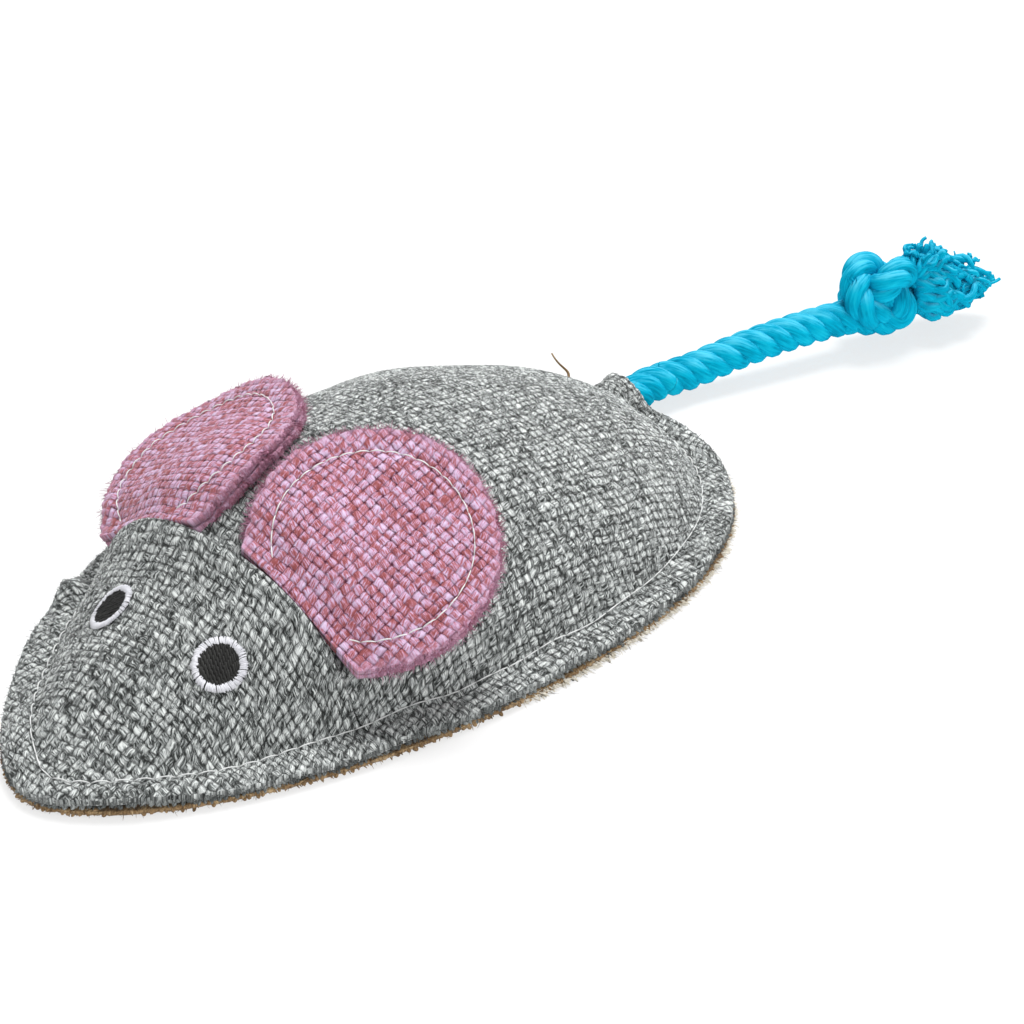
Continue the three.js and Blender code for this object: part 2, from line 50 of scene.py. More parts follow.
# Sizes in millimetres, nearly all as in the solids
GAP = 0.3
NOSE_Y, RUMP_Y = -70.0, 70.0
HALF_WIDTH, WIDEST_Y = 41.7, 21.0
NOSE_ROUND, FLANK_SWEEP, HAUNCH_SWEEP, RUMP_FLAT = 17.4, 49.6, 29.5, 26.3
BELLY_THICKNESS, BELLY_RIM, PANEL_THICKNESS = 1.2, 0.25, 1.4
STITCH_INSET, WALL_INSET = 5.0, 6.1
CROWN_Y, CROWN_HEIGHT = -8.0, 27.3
MUZZLE_RUN, MUZZLE_RISE, BROW_RUN = 17.5, 4.5, 24.0
BACK_RUN, RUMP_RUN, RUMP_RISE = 17.0, 4.5, 16.5
CROSS_POWER, FACE_FULLNESS, BACK_FULLNESS, FULLNESS_CHANGE = 1.9, 0.55, 0.57, 45.0
NECK_Y, NECK_BOW = -30.4, 2.0
EAR_RADIUS, EAR_CENTRE_RISE, EAR_THICKNESS = 19.0, 12.9, 1.3
EAR_X, EAR_Y = 16.5, -28.4
EAR_DROOP, EAR_TILT = math.radians(25), math.radians(22)
EAR_SEAT, EAR_DRAPE, EAR_STITCH_INSET = 0.4, 3.0, 4.3
EYE_X, EYE_Y, PUPIL_RADIUS, EYE_RING_WIDTH = 11.1, -41.2, 3.1, 1.0
ROPE_RADIUS, TAIL_ROOT_LENGTH = 3.1, 10.0
TAIL_HEADING, KNOT_HEADING = math.radians(16), math.radians(22)
KNOT_CENTRE = np.array([18.0, 121.0, 8.4])
KNOT_HALF_LENGTH = 8.5
FLANGE_BOTTOM = BELLY_THICKNESS + GAP
FLANGE_TOP = FLANGE_BOTTOM + PANEL_THICKNESS
ROPE_Z = FLANGE_BOTTOM + ROPE_RADIUS
ARCH_HEIGHT = 2 * ROPE_RADIUS + 2 * GAP
ARCH_HALF_WIDTH, ARCH_RUN = ROPE_RADIUS + 4.5 * GAP, 8.0

# Yarn and thread
YARN, YARN_SAMPLES, EAR_YARN_SAMPLES, BELLY_STEP = 1.36, 3, 4, 0.8
WEAVE_RELIEF, UNEVEN = 0.45, 0.1
RIM_ROUND, RIM_WIDTH, RIM_GROW = 0.75, 1.6, 0.15
CLOTH_DEPTH = 1.1
SEAM_DENT, EAR_DENT, DENT_WIDTH = 0.45, 0.4, 0.8
THREAD_RADIUS, THREAD_SEAT, STITCH_COVER, STITCH_LIFT = 0.1, 0.22, 0.96, 0.16
EDGE_STITCH_PITCH, EAR_STITCH_PITCH = 3.0, 2.3
FLOOR_CLEAR = 0.02

# How the sewn cloth departs from the plain form: rises as height and half-width, and edges drawn in
NECK_GAP = 0.15
FACE_ROLL, BACK_TUCK = (1.5, 3.2), (-1.0, 3.0)
NOSE_DRAW, TAIL_DRAW, TAIL_DIP = 1.7, 3.4, 0.9
PULL_REACH = 5

# Uneven stuffing: place, radius and height
FLANGE_PUCKER = ((-31, -34), 3.2, 2.6)
SWELLINGS = (((-3, -54), 9, 1.5), ((-18, 43), 12, -1.6), ((-4.0, 70), 2.4, 1.6))

# Cut edges: length and radius of blunt ends, and of fibre clusters and loose fibres with their number
EDGE_PITCH = YARN * 0.8
GREY_KNOBS, GREY_ENDS, GREY_LOOSE = (0.4, 0.4), (0.5, 0.12, 4), (1.1, 0.045, 3)
JUTE_KNOBS, JUTE_ENDS, JUTE_LOOSE = (0.4, 0.38), (0.45, 0.13, 4), (0.8, 0.045, 2)
CREAM_ENDS, CREAM_LOOSE = (1.1, 0.2, 8), (1.8, 0.06, 4)
PINK_KNOBS, PINK_ENDS, PINK_LOOSE = (0.35, 0.4), (0.5, 0.13, 5), (1.5, 0.055, 9)
STRAY_YARN = ((-15.0, 69.2, 1.0), (-15.4, 72, 3.2), (-17.5, 71.2, 1.6), (-19.5, 70.6, 5.2))

# Camera of the photograph
AZIMUTH, ELEVATION = math.radians(40.3), math.radians(32.7)
CAMERA_DISTANCE, CAMERA_RIGHT, CAMERA_UP = 409.0, 23.71, 11.9
LENS, SENSOR, CLIP_START = 90.91, 36.0, 0.01


def add_camera():
    back = Vector((
        math.sin(AZIMUTH) * math.cos(ELEVATION),
        -math.cos(AZIMUTH) * math.cos(ELEVATION),
        math.sin(ELEVATION),
    ))
    right = Vector((math.cos(AZIMUTH), math.sin(AZIMUTH), 0))
    up = back.cross(right)
    place = (back * CAMERA_DISTANCE + right * CAMERA_RIGHT + up * CAMERA_UP) * MM
    data = bpy.data.cameras.new("camera")
    data.lens = LENS
    data.sensor_width = SENSOR
    data.clip_start = CLIP_START
    camera = bpy.data.objects.new("camera", data)
    turn = Matrix((right, up, back)).transposed().to_4x4()
    camera.matrix_world = Matrix.Translation(place) @ turn
    bpy.context.scene.collection.objects.link(camera)
    bpy.context.scene.camera = camera


add_camera()


# Mesh helpers
def make_object(name, points, faces, material, uv, edge=None):
    mesh = bpy.data.meshes.new(name)
    mesh.from_pydata((np.asarray(points) * MM).tolist(), [], [list(map(int, f)) for f in faces])
    layer = mesh.uv_layers.new(name="fabric")
    index = np.empty(len(mesh.loops), int)
    mesh.loops.foreach_get("vertex_index", index)
    layer.data.foreach_set("uv", np.asarray(uv, np.float32)[index].ravel())
    if edge is not None:
        layer = mesh.attributes.new("edge", "FLOAT", "POINT")
        layer.data.foreach_set("value", np.asarray(edge, np.float32))
    mesh.shade_smooth()
    mesh.materials.append(material)
    mesh.validate()
    obj = bpy.data.objects.new(name, mesh)
    bpy.context.scene.collection.objects.link(obj)
    return obj


def unit(v):
    v = np.asarray(v, float)
    return v / np.maximum(np.linalg.norm(v, axis=-1, keepdims=True), 1e-9)


def smoothstep(x, low, high):
    t = np.clip((x - low) / (high - low), 0, 1)
    return t * t * (3 - 2 * t)


def bezier(a, b, c, d, count):
    t = np.linspace(0, 1, count)[:, None]
    a, b, c, d = (np.asarray(p, float) for p in (a, b, c, d))
    return (1 - t) ** 3 * a + 3 * (1 - t) ** 2 * t * b + 3 * (1 - t) * t * t * c + t ** 3 * d


def run_along(points):
    """Length along a path at each of its points."""
    return np.concatenate([[0], np.cumsum(np.linalg.norm(np.diff(points, axis=0), axis=1))])


def resample(points, count):
    points = np.asarray(points, float)
    length = run_along(points)
    places = np.linspace(0, length[-1], count)
    return np.stack([np.interp(places, length, points[:, k]) for k in range(points.shape[1])], 1)


def path_length(points):
    return float(np.linalg.norm(np.diff(points, axis=0), axis=1).sum())


def relax(line, rounds):
    """Smooths a path and keeps its ends."""
    for _ in range(rounds):
        line[1:-1] = (line[:-2] + 2 * line[1:-1] + line[2:]) / 4
    return line


def frames_along(points):
    """Tangent, side and up along a path, turned as little as possible."""
    tangent = unit(np.gradient(points, axis=0))
    side = np.zeros_like(tangent)
    start = np.array([0.0, 0.0, 1.0])
    if abs(tangent[0] @ start) > 0.9:
        start = np.array([1.0, 0.0, 0.0])
    side[0] = unit(np.cross(tangent[0], start))
    for i in range(1, len(points)):
        s = side[i - 1] - tangent[i] * (side[i - 1] @ tangent[i])
        side[i] = unit(s)
    return tangent, side, np.cross(side, tangent)


def tube(points, radii, sides):
    """Points, faces and surface map of a closed tube along a path, with a radius at each point."""
    points = np.asarray(points, float)
    radii = np.broadcast_to(np.asarray(radii, float), (len(points),))
    _, side, up = frames_along(points)
    angle = np.linspace(0, 2 * np.pi, sides, endpoint=False)
    cos, sin = np.cos(angle)[None, :, None], np.sin(angle)[None, :, None]
    ring = side[:, None, :] * cos + up[:, None, :] * sin
    verts = (points[:, None, :] + ring * radii[:, None, None]).reshape(-1, 3)
    along = run_along(points)
    uv = np.stack(np.meshgrid(along, angle * radii.max(), indexing="ij"), -1).reshape(-1, 2)
    faces = []
    for i in range(len(points) - 1):
        for k in range(sides):
            a, b = i * sides + k, i * sides + (k + 1) % sides
            faces.append((a, b, b + sides, a + sides))
    faces.append(tuple(range(sides - 1, -1, -1)))
    faces.append(tuple(range((len(points) - 1) * sides, len(points) * sides)))
    return verts, faces, uv


class Bundle:
    """Several tubes gathered into one mesh."""

    def __init__(self):
        self.points, self.faces, self.uv, self.count = [], [], [], 0

    def add(self, points, radii, sides):
        verts, faces, uv = tube(points, radii, sides)
        self.points.append(verts)
        self.uv.append(uv)
        self.faces.extend(tuple(k + self.count for k in face) for face in faces)
        self.count += len(verts)

    def build(self, name, material):
        points = np.concatenate(self.points)
        points[:, 2] = np.maximum(points[:, 2], FLOOR_CLEAR)
        return make_object(name, points, self.faces, material, np.concatenate(self.uv))


# Plan outline and stuffed form
def half_outline():
    widest = (HALF_WIDTH, WIDEST_Y)
    front = bezier((0, NOSE_Y), (NOSE_ROUND, NOSE_Y), (HALF_WIDTH, WIDEST_Y - FLANK_SWEEP), widest, 600)
    rear = bezier(widest, (HALF_WIDTH, WIDEST_Y + HAUNCH_SWEEP), (RUMP_FLAT, RUMP_Y), (0, RUMP_Y), 600)
    return resample(np.vstack([front, rear[1:]]), 700)


HALF = half_outline()


def inset_half(inset):
    tangent = unit(np.gradient(HALF, axis=0))
    points = HALF + np.reshape(inset, (-1, 1)) * np.stack([-tangent[:, 1], tangent[:, 0]], 1)
    points[0, 0] = points[-1, 0] = 0
    points[:, 0] = np.maximum(points[:, 0], 0)
    return points


def closed_outline(inset):
    left = inset_half(inset)
    right = left[1:-1][::-1] * np.array([-1, 1])
    return np.vstack([left, right])


WALL_LINE = inset_half(WALL_INSET)
CROWN_LINE = np.vstack([
    bezier((NOSE_Y + WALL_INSET, 0), (NOSE_Y + WALL_INSET + MUZZLE_RUN, MUZZLE_RISE),
           (CROWN_Y - BROW_RUN, CROWN_HEIGHT), (CROWN_Y, CROWN_HEIGHT), 300),
    bezier((CROWN_Y, CROWN_HEIGHT), (CROWN_Y + BACK_RUN, CROWN_HEIGHT),
           (RUMP_Y - WALL_INSET - RUMP_RUN, RUMP_RISE), (RUMP_Y - WALL_INSET, 0), 300)[1:],
])


def dome_height(x, y):
    half = np.interp(y, WALL_LINE[:, 1], WALL_LINE[:, 0])
    share = np.clip(np.abs(x) / np.maximum(half, 1e-6), 0, 1)
    rearward = smoothstep(y, NECK_Y, NECK_Y + FULLNESS_CHANGE)
    power = FACE_FULLNESS + (BACK_FULLNESS - FACE_FULLNESS) * rearward
    crown = np.interp(y, CROWN_LINE[:, 0], CROWN_LINE[:, 1])
    return crown * (1 - share ** CROSS_POWER) ** power


def arch_height(x, y):
    wall = RUMP_Y - WALL_INSET
    return ARCH_HEIGHT * np.exp(-(x / ARCH_HALF_WIDTH) ** 4) * smoothstep(y, wall - ARCH_RUN, wall)


def blur(grid, cells):
    reach = int(3 * cells)
    kernel = np.exp(-0.5 * (np.arange(-reach, reach + 1) / cells) ** 2)
    kernel /= kernel.sum()
    for axis in (0, 1):
        pad = [(reach, reach) if k == axis else (0, 0) for k in (0, 1)]
        wide = np.pad(grid, pad, mode="edge")
        grid = np.apply_along_axis(lambda row: np.convolve(row, kernel, "valid"), axis, wide)
    return grid


CELL, FORM_BLUR = 0.5, 1.1
GRID_X = np.arange(-48, 48.01, CELL)
GRID_Y = np.arange(-74, 74.01, CELL)


def neck_line(x):
    return NECK_Y + NECK_BOW * (x / HALF_WIDTH) ** 2


def bump(x, y, at, radius, height):
    return height * np.exp(-((x - at[0]) ** 2 + (y - at[1]) ** 2) / radius ** 2)


def form_grid():
    y, x = np.meshgrid(GRID_Y, GRID_X, indexing="ij")
    dome = dome_height(x, y)
    form = blur(np.maximum(dome, arch_height(x, y)), FORM_BLUR / CELL)
    full = smoothstep(dome, 2, 12)
    lumps = 0.45 * np.sin(x / 9 + 0.7) * np.sin(y / 11 + 1.1) + 0.3 * np.sin(x / 5.1 - y / 6.3)
    angle = np.arctan2(x, y)
    flutter = 0.3 * np.sin(9 * angle + 0.4) + 0.22 * np.sin(17 * angle + 1.9)
    form = form + lumps * full + flutter * (1 - full)
    form += bump(x, y, *FLANGE_PUCKER) * (1 - full)
    for swelling in SWELLINGS:
        form += bump(x, y, *swelling)
    return FLANGE_TOP + form


FORM = form_grid()


def sample(grid, x, y):
    fx = np.clip((np.asarray(x, float) - GRID_X[0]) / CELL, 0, len(GRID_X) - 1.001)
    fy = np.clip((np.asarray(y, float) - GRID_Y[0]) / CELL, 0, len(GRID_Y) - 1.001)
    i, j = fy.astype(int), fx.astype(int)
    a, b = fy - i, fx - j
    top = grid[i, j] * (1 - b) + grid[i, j + 1] * b
    low = grid[i + 1, j] * (1 - b) + grid[i + 1, j + 1] * b
    return top * (1 - a) + low * a


def form_z(x, y):
    return sample(FORM, x, y)


def form_normal(x, y, step=0.6):
    zx = (form_z(x + step, y) - form_z(x - step, y)) / (2 * step)
    zy = (form_z(x, y + step) - form_z(x, y - step)) / (2 * step)
    return unit(np.stack([-zx, -zy, np.ones_like(zx)], -1))


# Woven cloth
def weave_relief(u, v):
    iu, iv = np.floor(u), np.floor(v)
    fu, fv = u - iu - 0.5, v - iv - 0.5
    warp = (iu + iv) % 2 < 1
    across = np.where(warp, fu, fv)
    along = np.where(warp, fv, fu)
    return np.sqrt(np.clip(1 - (1.85 * across) ** 2, 0, 1)) * (0.55 + 0.45 * np.cos(np.pi * along))


def wobble(s, t):
    u = s / YARN + 0.2 * np.sin(t / 6.1 + np.sin(s / 8.3)) + 0.1 * np.sin(t / 2.3 + s / 3.7)
    v = t / YARN + 0.2 * np.sin(s / 7.3 + np.sin(t / 9.7)) + 0.1 * np.sin(s / 2.7 - t / 3.1)
    return u, v


def unevenness(shape, seed, cells, amount):
    """A smooth random field over a grid, in yarn widths."""
    field = blur(np.random.default_rng(seed).normal(size=shape), cells)
    return amount * field / field.std()


def snap_grid(x, y, inside, outline):
    """Adds the grid points just outside a closed outline, moved onto it, so that the edge is clean."""
    near = np.zeros_like(inside)
    for di in (-1, 0, 1):
        for dj in (-1, 0, 1):
            near |= np.roll(np.roll(inside, di, 0), dj, 1)
    near &= ~inside
    rows, cols = np.nonzero(near)
    edge = resample(np.vstack([outline, outline[:1]]), 4000)
    for start in range(0, len(rows), 500):
        r, c = rows[start:start + 500], cols[start:start + 500]
        gap = (edge[None, :, 0] - x[r, c][:, None]) ** 2 + (edge[None, :, 1] - y[r, c][:, None]) ** 2
        best = edge[gap.argmin(1)]
        x[r, c], y[r, c] = best[:, 0], best[:, 1]
    return inside | near


def in_polygon(x, y, polygon):
    inside = np.zeros(x.shape, bool)
    ax, ay = polygon[:, 0], polygon[:, 1]
    bx, by = np.roll(ax, -1), np.roll(ay, -1)
    for k in range(len(polygon)):
        if ay[k] == by[k]:
            continue
        cross = (ay[k] > y) != (by[k] > y)
        inside ^= cross & (x < (bx[k] - ax[k]) * (y - ay[k]) / (by[k] - ay[k]) + ax[k])
    return inside


def slab(name, top, bottom, kept, uv, material, edge, flip=False):
    """Closed layer of cloth between two grids of points."""
    number = -np.ones(kept.shape, int)
    cells = kept[:-1, :-1] & kept[1:, :-1] & kept[:-1, 1:] & kept[1:, 1:]
    used = np.zeros_like(kept)
    for di, dj in ((0, 0), (1, 0), (0, 1), (1, 1)):
        used[di:di + cells.shape[0], dj:dj + cells.shape[1]] |= cells
    number[used] = np.arange(used.sum())
    i, j = np.nonzero(cells)
    quads = np.stack([number[i, j], number[i, j + 1], number[i + 1, j + 1], number[i + 1, j]], 1)
    if flip:
        quads = quads[:, ::-1]
    count = int(used.sum())
    edges = np.concatenate([np.stack([quads[:, k], quads[:, (k + 1) % 4]], 1) for k in range(4)])
    seen = set(map(tuple, edges.tolist()))
    sides = [(b, a, a + count, b + count) for a, b in seen if (b, a) not in seen]
    faces = quads.tolist() + (quads[:, ::-1] + count).tolist() + sides
    points = np.concatenate([top[used], bottom[used]])
    rim = np.concatenate([edge[used], edge[used]])
    return make_object(name, points, faces, material, np.concatenate([uv[used], uv[used]]), rim)


ROW_X = 16.0


def body_cloth_grid():
    """Rows of cloth across the body, with even yarn spacing over the round of the form."""
    step = YARN / YARN_SAMPLES
    y = np.arange(NOSE_Y - 1, RUMP_Y + 1.01, 0.1)
    profile = form_z(np.full_like(y, ROW_X), y)
    along = np.concatenate([[0], np.cumsum(np.hypot(np.diff(y), np.diff(profile)))])
    t = np.arange(0, along[-1], step)
    rows_y = np.interp(t, along, y)
    s = np.arange(-66, 66.01, step)
    x = np.zeros((len(t), len(s)))
    fine = np.arange(0, 47.01, 0.25)
    for i, row in enumerate(rows_y):
        z = form_z(fine, np.full_like(fine, row))
        length = np.concatenate([[0], np.cumsum(np.hypot(np.diff(fine), np.diff(z)))])
        x[i] = np.sign(s) * np.interp(np.abs(s), length, fine)
        x[i][np.abs(s) > length[-1]] = 999
    return x, np.repeat(rows_y[:, None], len(s), 1), s, t


def panel_polygon(front):
    way = -1 if front else 1
    left = HALF[way * (HALF[:, 1] - neck_line(HALF[:, 0])) > NECK_GAP]
    neck_x = np.linspace(-HALF_WIDTH, HALF_WIDTH, 160)
    neck = np.stack([neck_x, neck_line(neck_x) + way * NECK_GAP], 1)[::way]
    edge = np.interp(left[-1 if front else 0, 1], HALF[:350, 1], HALF[:350, 0])
    neck = neck[np.abs(neck[:, 0]) < edge]
    right = left[::-1] * np.array([-1, 1])
    if front:
        return np.vstack([left, neck, right[:-1]])
    return np.vstack([left, right[1:], neck])


def seam_inset(x, y):
    """The seam runs nearer the cut edge on the near side of the nose and further in on its far side."""
    nose = 1 - smoothstep(y, -66, -34)
    return STITCH_INSET + nose * (0.3 - 1.8 * smoothstep(x, -8, 6))


def nose_pull(x, y):
    """How far the far side of the nose's flange is drawn in."""
    return NOSE_DRAW * (1 - smoothstep(y, -64, -40)) * (1 - smoothstep(x, -6, 12))


def tail_pull(x, y):
    """How far the cut edge is drawn in where it is sewn over the rope."""
    return np.exp(-(x / 6.0) ** 4) * smoothstep(y, RUMP_Y - 9, RUMP_Y)


def body_panel(name, front, material):
    x, y, s, t = body_cloth_grid()
    polygon = panel_polygon(front)
    kept = snap_grid(x, y, in_polygon(x, y, polygon), polygon)
    x = np.where(kept, x, 0)
    u, v = wobble(*np.meshgrid(s, t))
    u += unevenness(u.shape, 41, 2.0, UNEVEN)
    v += unevenness(v.shape, 42, 2.0, UNEVEN)
    rise, width = FACE_ROLL if front else BACK_TUCK
    roll = rise * np.exp(-((y - neck_line(x)) / width) ** 2) * smoothstep(dome_height(x, y), 1, 8)
    normal = form_normal(x, y)
    inset = outline_distance(x, y)
    pull = tail_pull(x, y)
    grow = 1 + RIM_GROW * (1 - smoothstep(inset, 0, 4)) / HALF_WIDTH
    drawn = nose_pull(x, y) * (1 - smoothstep(inset, 0, PULL_REACH))
    height = form_z(x, y) + roll - TAIL_DIP * pull
    base = np.stack([x * grow + drawn, y * grow - TAIL_DRAW * pull, height], -1)
    relief = WEAVE_RELIEF * weave_relief(u, v)
    relief -= SEAM_DENT * np.exp(-((inset - seam_inset(x, y)) / DENT_WIDTH) ** 2)
    relief -= RIM_ROUND * np.clip(1 - inset / RIM_WIDTH, 0, 1) ** 2
    top = base + normal * relief[..., None]
    bottom = base - normal * CLOTH_DEPTH
    bottom[..., 2] = np.maximum(bottom[..., 2], FLANGE_BOTTOM + 0.05)
    edge = 1 - smoothstep(inset, -0.2, 0.7)
    return slab(name, top, bottom, kept, np.stack([u, v], -1), material, edge)


def outline_distance(x, y):
    """Distance in from the cut edge, on a coarse grid."""
    gy, gx = np.meshgrid(GRID_Y[::2], GRID_X[::2], indexing="ij")
    edge = closed_outline(0)[::6]
    gap = np.full(gx.shape, 1e9)
    for p in edge:
        gap = np.minimum(gap, (gx - p[0]) ** 2 + (gy - p[1]) ** 2)
    gap = np.sqrt(gap)
    fine = np.repeat(np.repeat(gap, 2, 0), 2, 1)[:len(GRID_Y), :len(GRID_X)]
    return sample(fine, x, y)


# Materials
class Nodes:
    """Short names for the nodes of one material."""

    def __init__(self, name):
        self.material = bpy.data.materials.new(name)
        self.material.use_nodes = True
        self.tree = self.material.node_tree
        self.shader = self.tree.nodes["Principled BSDF"]

    def link(self, value, socket):
        if isinstance(value, bpy.types.NodeSocket):
            self.tree.links.new(value, socket)
        else:
            socket.default_value = value

    def node(self, kind, inputs=(), **settings):
        node = self.tree.nodes.new("ShaderNode" + kind)
        for name, value in settings.items():
            setattr(node, name, value)
        for key, value in dict(inputs).items():
            self.link(value, node.inputs[key])
        return node

    def math(self, operation, a, b=0.0):
        return self.node("Math", {0: a, 1: b}, operation=operation).outputs[0]

    def add(self, a, b):
        return self.math("ADD", a, b)

    def sub(self, a, b):
        return self.math("SUBTRACT", a, b)

    def mul(self, a, b):
        return self.math("MULTIPLY", a, b)

    def pick(self, share, a, b):
        return self.add(a, self.mul(share, self.sub(b, a)))

    def vector(self, x, y, z=0.0):
        return self.node("CombineXYZ", {0: x, 1: y, 2: z}).outputs[0]

    def noise(self, vector, scale, detail=2.0, rough=0.5):
        inputs = {"Vector": vector, "Scale": scale, "Detail": detail, "Roughness": rough}
        return self.node("TexNoise", inputs).outputs["Fac"]

    def ramp(self, share, stops):
        node = self.node("ValToRGB", {0: share})
        ramp = node.color_ramp
        while len(ramp.elements) < len(stops):
            ramp.elements.new(0.5)
        for element, (place, colour) in zip(ramp.elements, stops):
            element.position = place
            element.color = (*srgb(*colour), 1)
        return node.outputs[0]

    def mix(self, share, a, b):
        return self.node("Mix", {0: share, 6: a, 7: b}, data_type="RGBA").outputs[2]

    def bump(self, height, strength, distance):
        node = self.node("Bump", {"Strength": strength, "Distance": distance, "Height": height})
        self.link(node.outputs[0], self.shader.inputs["Normal"])

    def split(self, vector):
        return self.node("SeparateXYZ", {0: vector}).outputs

    def uv(self):
        return self.split(self.node("UVMap", uv_map="fabric").outputs[0])[:2]

    def smooth(self, value, low, high):
        inputs = {"Value": value, "From Min": low, "From Max": high}
        return self.node("MapRange", inputs, interpolation_type="SMOOTHSTEP").outputs["Result"]

    def edge(self):
        return self.node("Attribute", attribute_name="edge").outputs["Fac"]

    def around(self, value, middle, gain):
        return self.mul(self.sub(value, middle), gain)

    def done(self, colour, roughness, sheen, gloss=0.25):
        self.link(colour, self.shader.inputs["Base Color"])
        self.link(roughness, self.shader.inputs["Roughness"])
        self.shader.inputs["Specular IOR Level"].default_value = gloss
        self.shader.inputs["Sheen Weight"].default_value = sheen
        return self.material


def srgb(r, g, b):
    return tuple(((c / 255 + 0.055) / 1.055) ** 2.4 if c > 10 else c / 3295 for c in (r, g, b))


def cloth_material(name, stops, gap_shade_colour, side_shade_from, end_shade_from, streak, blend, warp, felt):
    """Plain weave: plump floats of fibre with painted shade in the real gaps between them, felted toward
    the cut edge.
    """
    n = Nodes(name)
    u, v = n.uv()
    stray = [n.around(n.noise(n.vector(u, v, layer), 1.8, 2.0), 0.5, warp) for layer in (5.0, 9.0)]
    u, v = n.add(u, stray[0]), n.add(v, stray[1])
    iu, iv = n.math("FLOOR", u), n.math("FLOOR", v)
    fu = n.sub(n.sub(u, iu), 0.5)
    fv = n.sub(n.sub(v, iv), 0.5)
    weft = n.math("FLOORED_MODULO", n.add(iu, iv), 2.0)
    across, along = n.pick(weft, fu, fv), n.pick(weft, fv, fu)
    run = n.pick(weft, v, u)
    yarn = n.pick(weft, iu, n.add(iv, 173.0))
    blotch = n.noise(n.vector(n.mul(yarn, 7.31), n.mul(run, 0.8)), 1.0, 2.0)
    slub = n.noise(n.vector(n.mul(yarn, 5.7), n.mul(run, 0.7), 4.0), 1.0, 2.0)
    twist = n.add(n.mul(across, 4.2), n.mul(along, 1.2))
    fibre = n.noise(n.vector(twist, n.mul(run, 0.7), n.mul(yarn, 3.3)), 1.5, 3.0, 0.6)
    frizz = n.noise(n.vector(u, v, 1.0), 4.5, 3.0, 0.65)
    # Painted shade in the gaps between the yarns: patchy in depth, darkest at the sides and ends of each
    # float where the yarns dive under, weaker near the felted edge
    shade_depth = n.smooth(n.noise(n.vector(u, v, 7.0), 0.75, 2.0), 0.36, 0.56)
    shade_depth = n.add(n.mul(shade_depth, 0.45), 0.55)
    far = n.mul(n.math("ABSOLUTE", across), 2.0)
    end = n.mul(n.math("ABSOLUTE", along), 2.0)
    ragged = n.add(n.around(fibre, 0.5, 0.9), n.around(slub, 0.5, 1.0))
    side = n.smooth(n.add(far, ragged), side_shade_from, side_shade_from + 0.34)
    crossing = n.add(n.mul(n.smooth(end, 0.2, 0.95), 0.5), 0.5)
    side = n.mul(side, crossing)
    tip = n.smooth(n.add(end, n.around(fibre, 0.5, 0.8)), end_shade_from, end_shade_from + 0.26)
    edge = n.edge()
    gap_shade_share = n.mul(shade_depth, n.sub(1.0, n.mul(edge, 0.6)))
    gap = n.mul(n.math("MAXIMUM", side, tip), gap_shade_share)
    tone = n.add(n.around(fibre, 0.5, streak), n.add(n.around(blotch, 0.5, blend), 0.5))
    colour = n.mix(n.mul(edge, 0.6), n.ramp(tone, stops), n.ramp(n.around(frizz, 0.1, 1.3), felt))
    # The gap colour is painted shade, laid over the yarn colour
    colour = n.mix(gap, colour, (*srgb(*gap_shade_colour), 1))
    round_top = n.math("SQRT", n.math("MAXIMUM", n.sub(1.0, n.math("POWER", far, 2.0)), 0.0))
    height = n.add(round_top, n.add(n.mul(fibre, 0.7), n.mul(frizz, 0.3)))
    n.bump(height, 0.55, 0.0003)
    return n.done(colour, 0.95, 0.15)


GREY_STOPS = [
    (0.25, (36, 38, 37)), (0.42, (110, 114, 113)),
    (0.55, (172, 176, 175)), (0.75, (224, 228, 226)),
]
PINK_STOPS = [
    (0.24, (148, 78, 80)), (0.43, (180, 114, 126)),
    (0.56, (198, 158, 190)), (0.78, (214, 192, 220)),
]
JUTE_STOPS = [(0.30, (84, 62, 40)), (0.5, (150, 120, 84)), (0.7, (202, 178, 138))]
GREY_FELT = [(0.3, (50, 52, 51)), (0.55, (110, 114, 113)), (0.8, (172, 176, 175))]
PINK_FELT = [(0.3, (150, 88, 106)), (0.55, (186, 140, 164)), (0.8, (208, 178, 198))]

# The third argument of each is the painted shade colour in the gaps between the yarns
GREY_CLOTH = cloth_material("grey_weave", GREY_STOPS, (32, 34, 33), 0.5, 0.74, 1.8, 0.8, 0.35, GREY_FELT)
PINK_CLOTH = cloth_material("pink_weave", PINK_STOPS, (78, 28, 48), 0.62, 0.78, 1.5, 1.1, 0.22, PINK_FELT)
JUTE_CLOTH = cloth_material("jute_weave", JUTE_STOPS, (52, 36, 22), 0.56, 0.72, 1.5, 0.8, 0.35, JUTE_STOPS)


def strand_material(name, stops, roughness, lines, sheen=0.1, gloss=0.25, top_highlight=None):
    """Fibre along a strand: the surface map runs along it and round it. A top highlight, if given, is
    painted in patches on the surfaces that face upward.
    """
    n = Nodes(name)
    u, v = n.uv()
    fibre = n.noise(n.vector(n.mul(u, 0.35), n.mul(v, lines)), 1.0, 3.0, 0.6)
    patch = n.noise(n.node("TexCoord").outputs["Object"], 220.0, 2.0)
    tone = n.add(n.mul(fibre, 0.6), n.mul(patch, 0.4))
    n.bump(fibre, 0.45, 0.0002)
    colour = n.ramp(tone, stops)
    # Painted highlight: a lighter colour in patches where the surface faces upward, toward the lamps
    if top_highlight:
        upward = n.split(n.node("NewGeometry").outputs["Normal"])[2]
        share = n.mul(n.smooth(upward, 0.45, 0.95), n.smooth(tone, 0.4, 0.62))
        colour = n.mix(n.mul(share, 0.4), colour, (*srgb(*top_highlight), 1))
    return n.done(colour, roughness, sheen, gloss)


